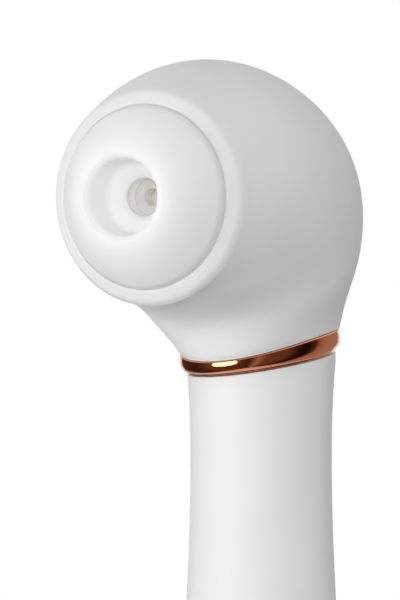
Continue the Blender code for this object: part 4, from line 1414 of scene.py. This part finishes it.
@dataclass
class Studio:
    """Pale floor, soft dome with a few lamps, a dark surround for reflections, and the camera.

    Directions are in degrees. Those of lamps and tent are to the right of the camera and above level.
    """

    lamps: tuple[Lamp, ...] = (
        Lamp("side_light", -72, -5, 0.8, (0.5, 0.08), 2.2, spares_floor=True),
        Lamp("front_light", -9, -6, 0.8, (0.45, 0.07), 2.65, spares_floor=True),
        Lamp("top_light", 75, 55, 1.0, (0.6, 0.5), 1.2),
        Lamp("back_light", 180, 25, 1.0, (0.6, 0.5), 1.6),
        Lamp("glint_light", -51, 4.5, 0.8, (0.57, 0.36), 2.05, glint=True),
    )
    ambient: float = 0.40
    tent_left: float = -150.0
    tent_right: float = 150.0
    tent_r: float = 1.3
    tent_height: float = 0.75
    tent_lift: float = 0.2 * MM
    tent_glows: tuple = (
        (-150, 0.08), (-104, 0.045), (-80, 0.12), (-30, 0.10), (-13, 0.05), (-8, 0.16), (-2, 0.34),
        (3, 0.30), (9, 0.15), (40, 0.12), (57, 0.03), (72, 0.008), (86, 0.06), (96, 0.32), (114, 0.40),
        (150, 0.36),
    )
    tent_tint: Color = (1.0, 0.55, 0.32)
    tent_neutral: float = 0.5
    floor_half: float = 2.0
    floor_drop: float = 0.2 * MM
    floor_glow: float = 0.34
    focal_px: float = 2178.0
    frame_px: tuple[float, float] = (400.0, 600.0)
    optical_centre_px: tuple[float, float] = (260.93, 372.67)
    sensor: float = 36.0
    clip_start: float = 0.01
    aim: tuple[float, float, float] = (0.0, 0.0, 119.79 * MM)
    azimuth: float = 27.46
    elevation: float = -10.1
    distance: float = 0.45

    def build(self) -> None:
        """Makes the world, lamps, dark tent, floor and camera."""
        bpy.context.scene.view_settings.view_transform = "Standard"
        self.build_world()
        lit = [self.build_lamp(lamp) for lamp in self.lamps]
        self.build_tent()
        floor = self.build_floor()
        for lamp, made in zip(self.lamps, lit):
            if lamp.spares_floor:
                self.spare(made, floor)
        self.build_camera()

    def direction(self, azimuth: float, elevation: float) -> Vector:
        """Gives a unit direction from the object, in degrees right of the camera and above level."""
        a, e = math.radians(self.azimuth + azimuth), math.radians(elevation)
        return Vector((math.sin(a) * math.cos(e), -math.cos(a) * math.cos(e), math.sin(e)))

    def build_world(self) -> None:
        """Makes a world that is white to the eye and in reflections, and softer as light."""
        world = bpy.data.worlds.new("studio")
        bpy.context.scene.world = world
        world.use_nodes = True
        world.node_tree.nodes.clear()
        nodes = Nodes(world.node_tree)
        path = nodes.add("ShaderNodeLightPath").outputs
        seen = path["Is Camera Ray"]
        for name in ("Is Glossy Ray", "Is Transmission Ray"):
            seen = nodes.math("MAXIMUM", seen, path[name])
        soft, full = (nodes.add("ShaderNodeBackground", Color=WHITE, Strength=strength).outputs[0]
                      for strength in (self.ambient, 1.0))
        nodes.add("ShaderNodeOutputWorld", Surface=nodes.mix(seen, soft, full))

    def build_lamp(self, lamp: Lamp) -> Piece:
        """Makes a lamp that the camera doesn't see.

        Args:
            lamp: its place and strength.

        Returns:
            The lamp. Only reflections see a glint lamp, and they don't see the others.
        """
        data = bpy.data.lights.new(lamp.name, "AREA")
        data.shape = "ELLIPSE"
        data.size, data.size_y = lamp.size
        data.energy = lamp.power
        made = add_object(lamp.name, data)
        way = self.direction(lamp.azimuth, lamp.elevation)
        made.location = Vector(self.aim) + way * lamp.distance
        made.rotation_euler = way.to_track_quat("Z", "Y").to_euler()
        made.visible_camera = False
        made.visible_diffuse = not lamp.glint
        made.visible_glossy = lamp.glint
        return made

    @staticmethod
    def spare(lamp: Piece, floor: Piece) -> None:
        """Keeps a low lamp off the floor, where it would burn a bright patch.

        Args:
            lamp: the lamp.
            floor: what it doesn't light.
        """
        group = bpy.data.collections.new(f"{lamp.name}_spares")
        group.objects.link(floor)
        group.collection_objects[0].light_linking.link_state = "EXCLUDE"
        lamp.light_linking.receiver_collection = group

    def build_tent(self) -> None:
        """Makes a dark curved wall and a dark sheet on the floor, which only reflections see: their glow,
        warm where it is dim, paints the pattern of the ring's reflections.
        """
        work = bmesh.new()
        glow = work.verts.layers.float_color.new("glow")
        columns = []
        for share in shares(ROUND):
            azimuth = self.tent_left + (self.tent_right - self.tent_left) * share
            foot = self.direction(azimuth, 0) * self.tent_r
            foot.z = self.tent_lift
            top = foot + Vector((0, 0, self.tent_height))
            columns.append([work.verts.new(corner) for corner in (Vector((0, 0, foot.z)), foot, top)])
            for vert in columns[-1]:
                vert[glow] = (*self.tent_color(azimuth), 1.0)
        for one, two in zip(columns, columns[1:]):
            work.faces.new((one[0], one[1], two[1]))
            work.faces.new((one[1], two[1], two[2], one[2]))
        tent = add_object("dark_tent", as_mesh("dark_tent", work))
        cloth, nodes = new_material("dark_tent_cloth")
        read = nodes.add("ShaderNodeAttribute")
        read.attribute_name = "glow"
        nodes.shade({"Base Color": BLACK, "Specular IOR Level": 0.0, "Emission Strength": 1.0,
                     "Emission Color": read.outputs["Color"]})
        tent.data.materials.append(cloth)
        tent.visible_camera = False
        tent.visible_diffuse = False
        tent.visible_shadow = False
        tent.visible_transmission = False

    def tent_color(self, azimuth: float) -> Color:
        """Gives the tent's glow at an azimuth: warm where it is dim, and white where it is bright.

        Args:
            azimuth: degrees to the right of the camera.

        Returns:
            The glow's colour.
        """
        glow = float(np.interp(azimuth, *zip(*self.tent_glows)))
        white = min(1.0, glow / self.tent_neutral)
        red, green, blue = (glow * (tint + (1 - tint) * white) for tint in self.tent_tint)
        return red, green, blue

    def build_floor(self) -> Piece:
        """Lays a plain floor that is paler to the eye alone, and clear from below.

        Returns:
            The floor.
        """
        work = bmesh.new()
        bmesh.ops.create_grid(work, x_segments=1, y_segments=1, size=self.floor_half)
        floor = to_object("floor", work, FLOOR, Matrix.Translation((0, 0, -self.floor_drop)))
        tree = floor.data.materials[0].node_tree
        nodes = Nodes(tree)
        eye = nodes.add("ShaderNodeLightPath").outputs["Is Camera Ray"]
        pale = nodes.shade({"Emission Color": WHITE,
                            "Emission Strength": nodes.math("MULTIPLY", eye, self.floor_glow)})
        below = nodes.add("ShaderNodeNewGeometry").outputs["Backfacing"]
        clear = nodes.add("ShaderNodeBsdfTransparent").outputs[0]
        nodes.feed(tree.nodes["Material Output"].inputs["Surface"], nodes.mix(below, pale, clear))
        return floor

    def build_camera(self) -> None:
        """Sets the camera at the photograph's viewing angle, without shift."""
        data = bpy.data.cameras.new("camera")
        data.sensor_width = self.sensor
        data.lens = self.sensor * self.focal_px / max(self.frame_px)
        data.clip_start = self.clip_start
        camera = add_object("camera", data)
        bpy.context.scene.camera = camera
        back = self.direction(0, self.elevation)
        right = Vector((-back.y, back.x, 0)).normalized()
        up = back.cross(right)
        aside = (self.frame_px[0] / 2 - self.optical_centre_px[0]) / self.focal_px
        above = (self.optical_centre_px[1] - self.frame_px[1] / 2) / self.focal_px
        look = (-back + right * aside + up * above).normalized()
        across = look.cross(up).normalized()
        turn = Matrix((across, across.cross(look), -look)).transposed().to_4x4()
        camera.matrix_world = Matrix.Translation(Vector(self.aim) + back * self.distance) @ turn


def main() -> None:
    """Loads the frame, builds each sub-assembly round it and logs each piece."""
    logging.basicConfig(level=logging.INFO, format="%(name)s: %(message)s")
    for item in list(bpy.data.objects):
        bpy.data.objects.remove(item, do_unlink=True)
    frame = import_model()
    nozzle = Nozzle()
    trim = TrimRing()
    grip = Grip(trim)
    screw = Screw(circle_tool())
    HeadSkin(nozzle, trim).build()
    SuctionCup(nozzle).build()
    NosePlate(nozzle).build(screw)
    trim.build()
    grip.build()
    Controls(grip).build()
    Base(grip).build(screw)
    Works().dress(frame["nodes"])
    Studio().build()


if __name__ == "__main__":
    main()
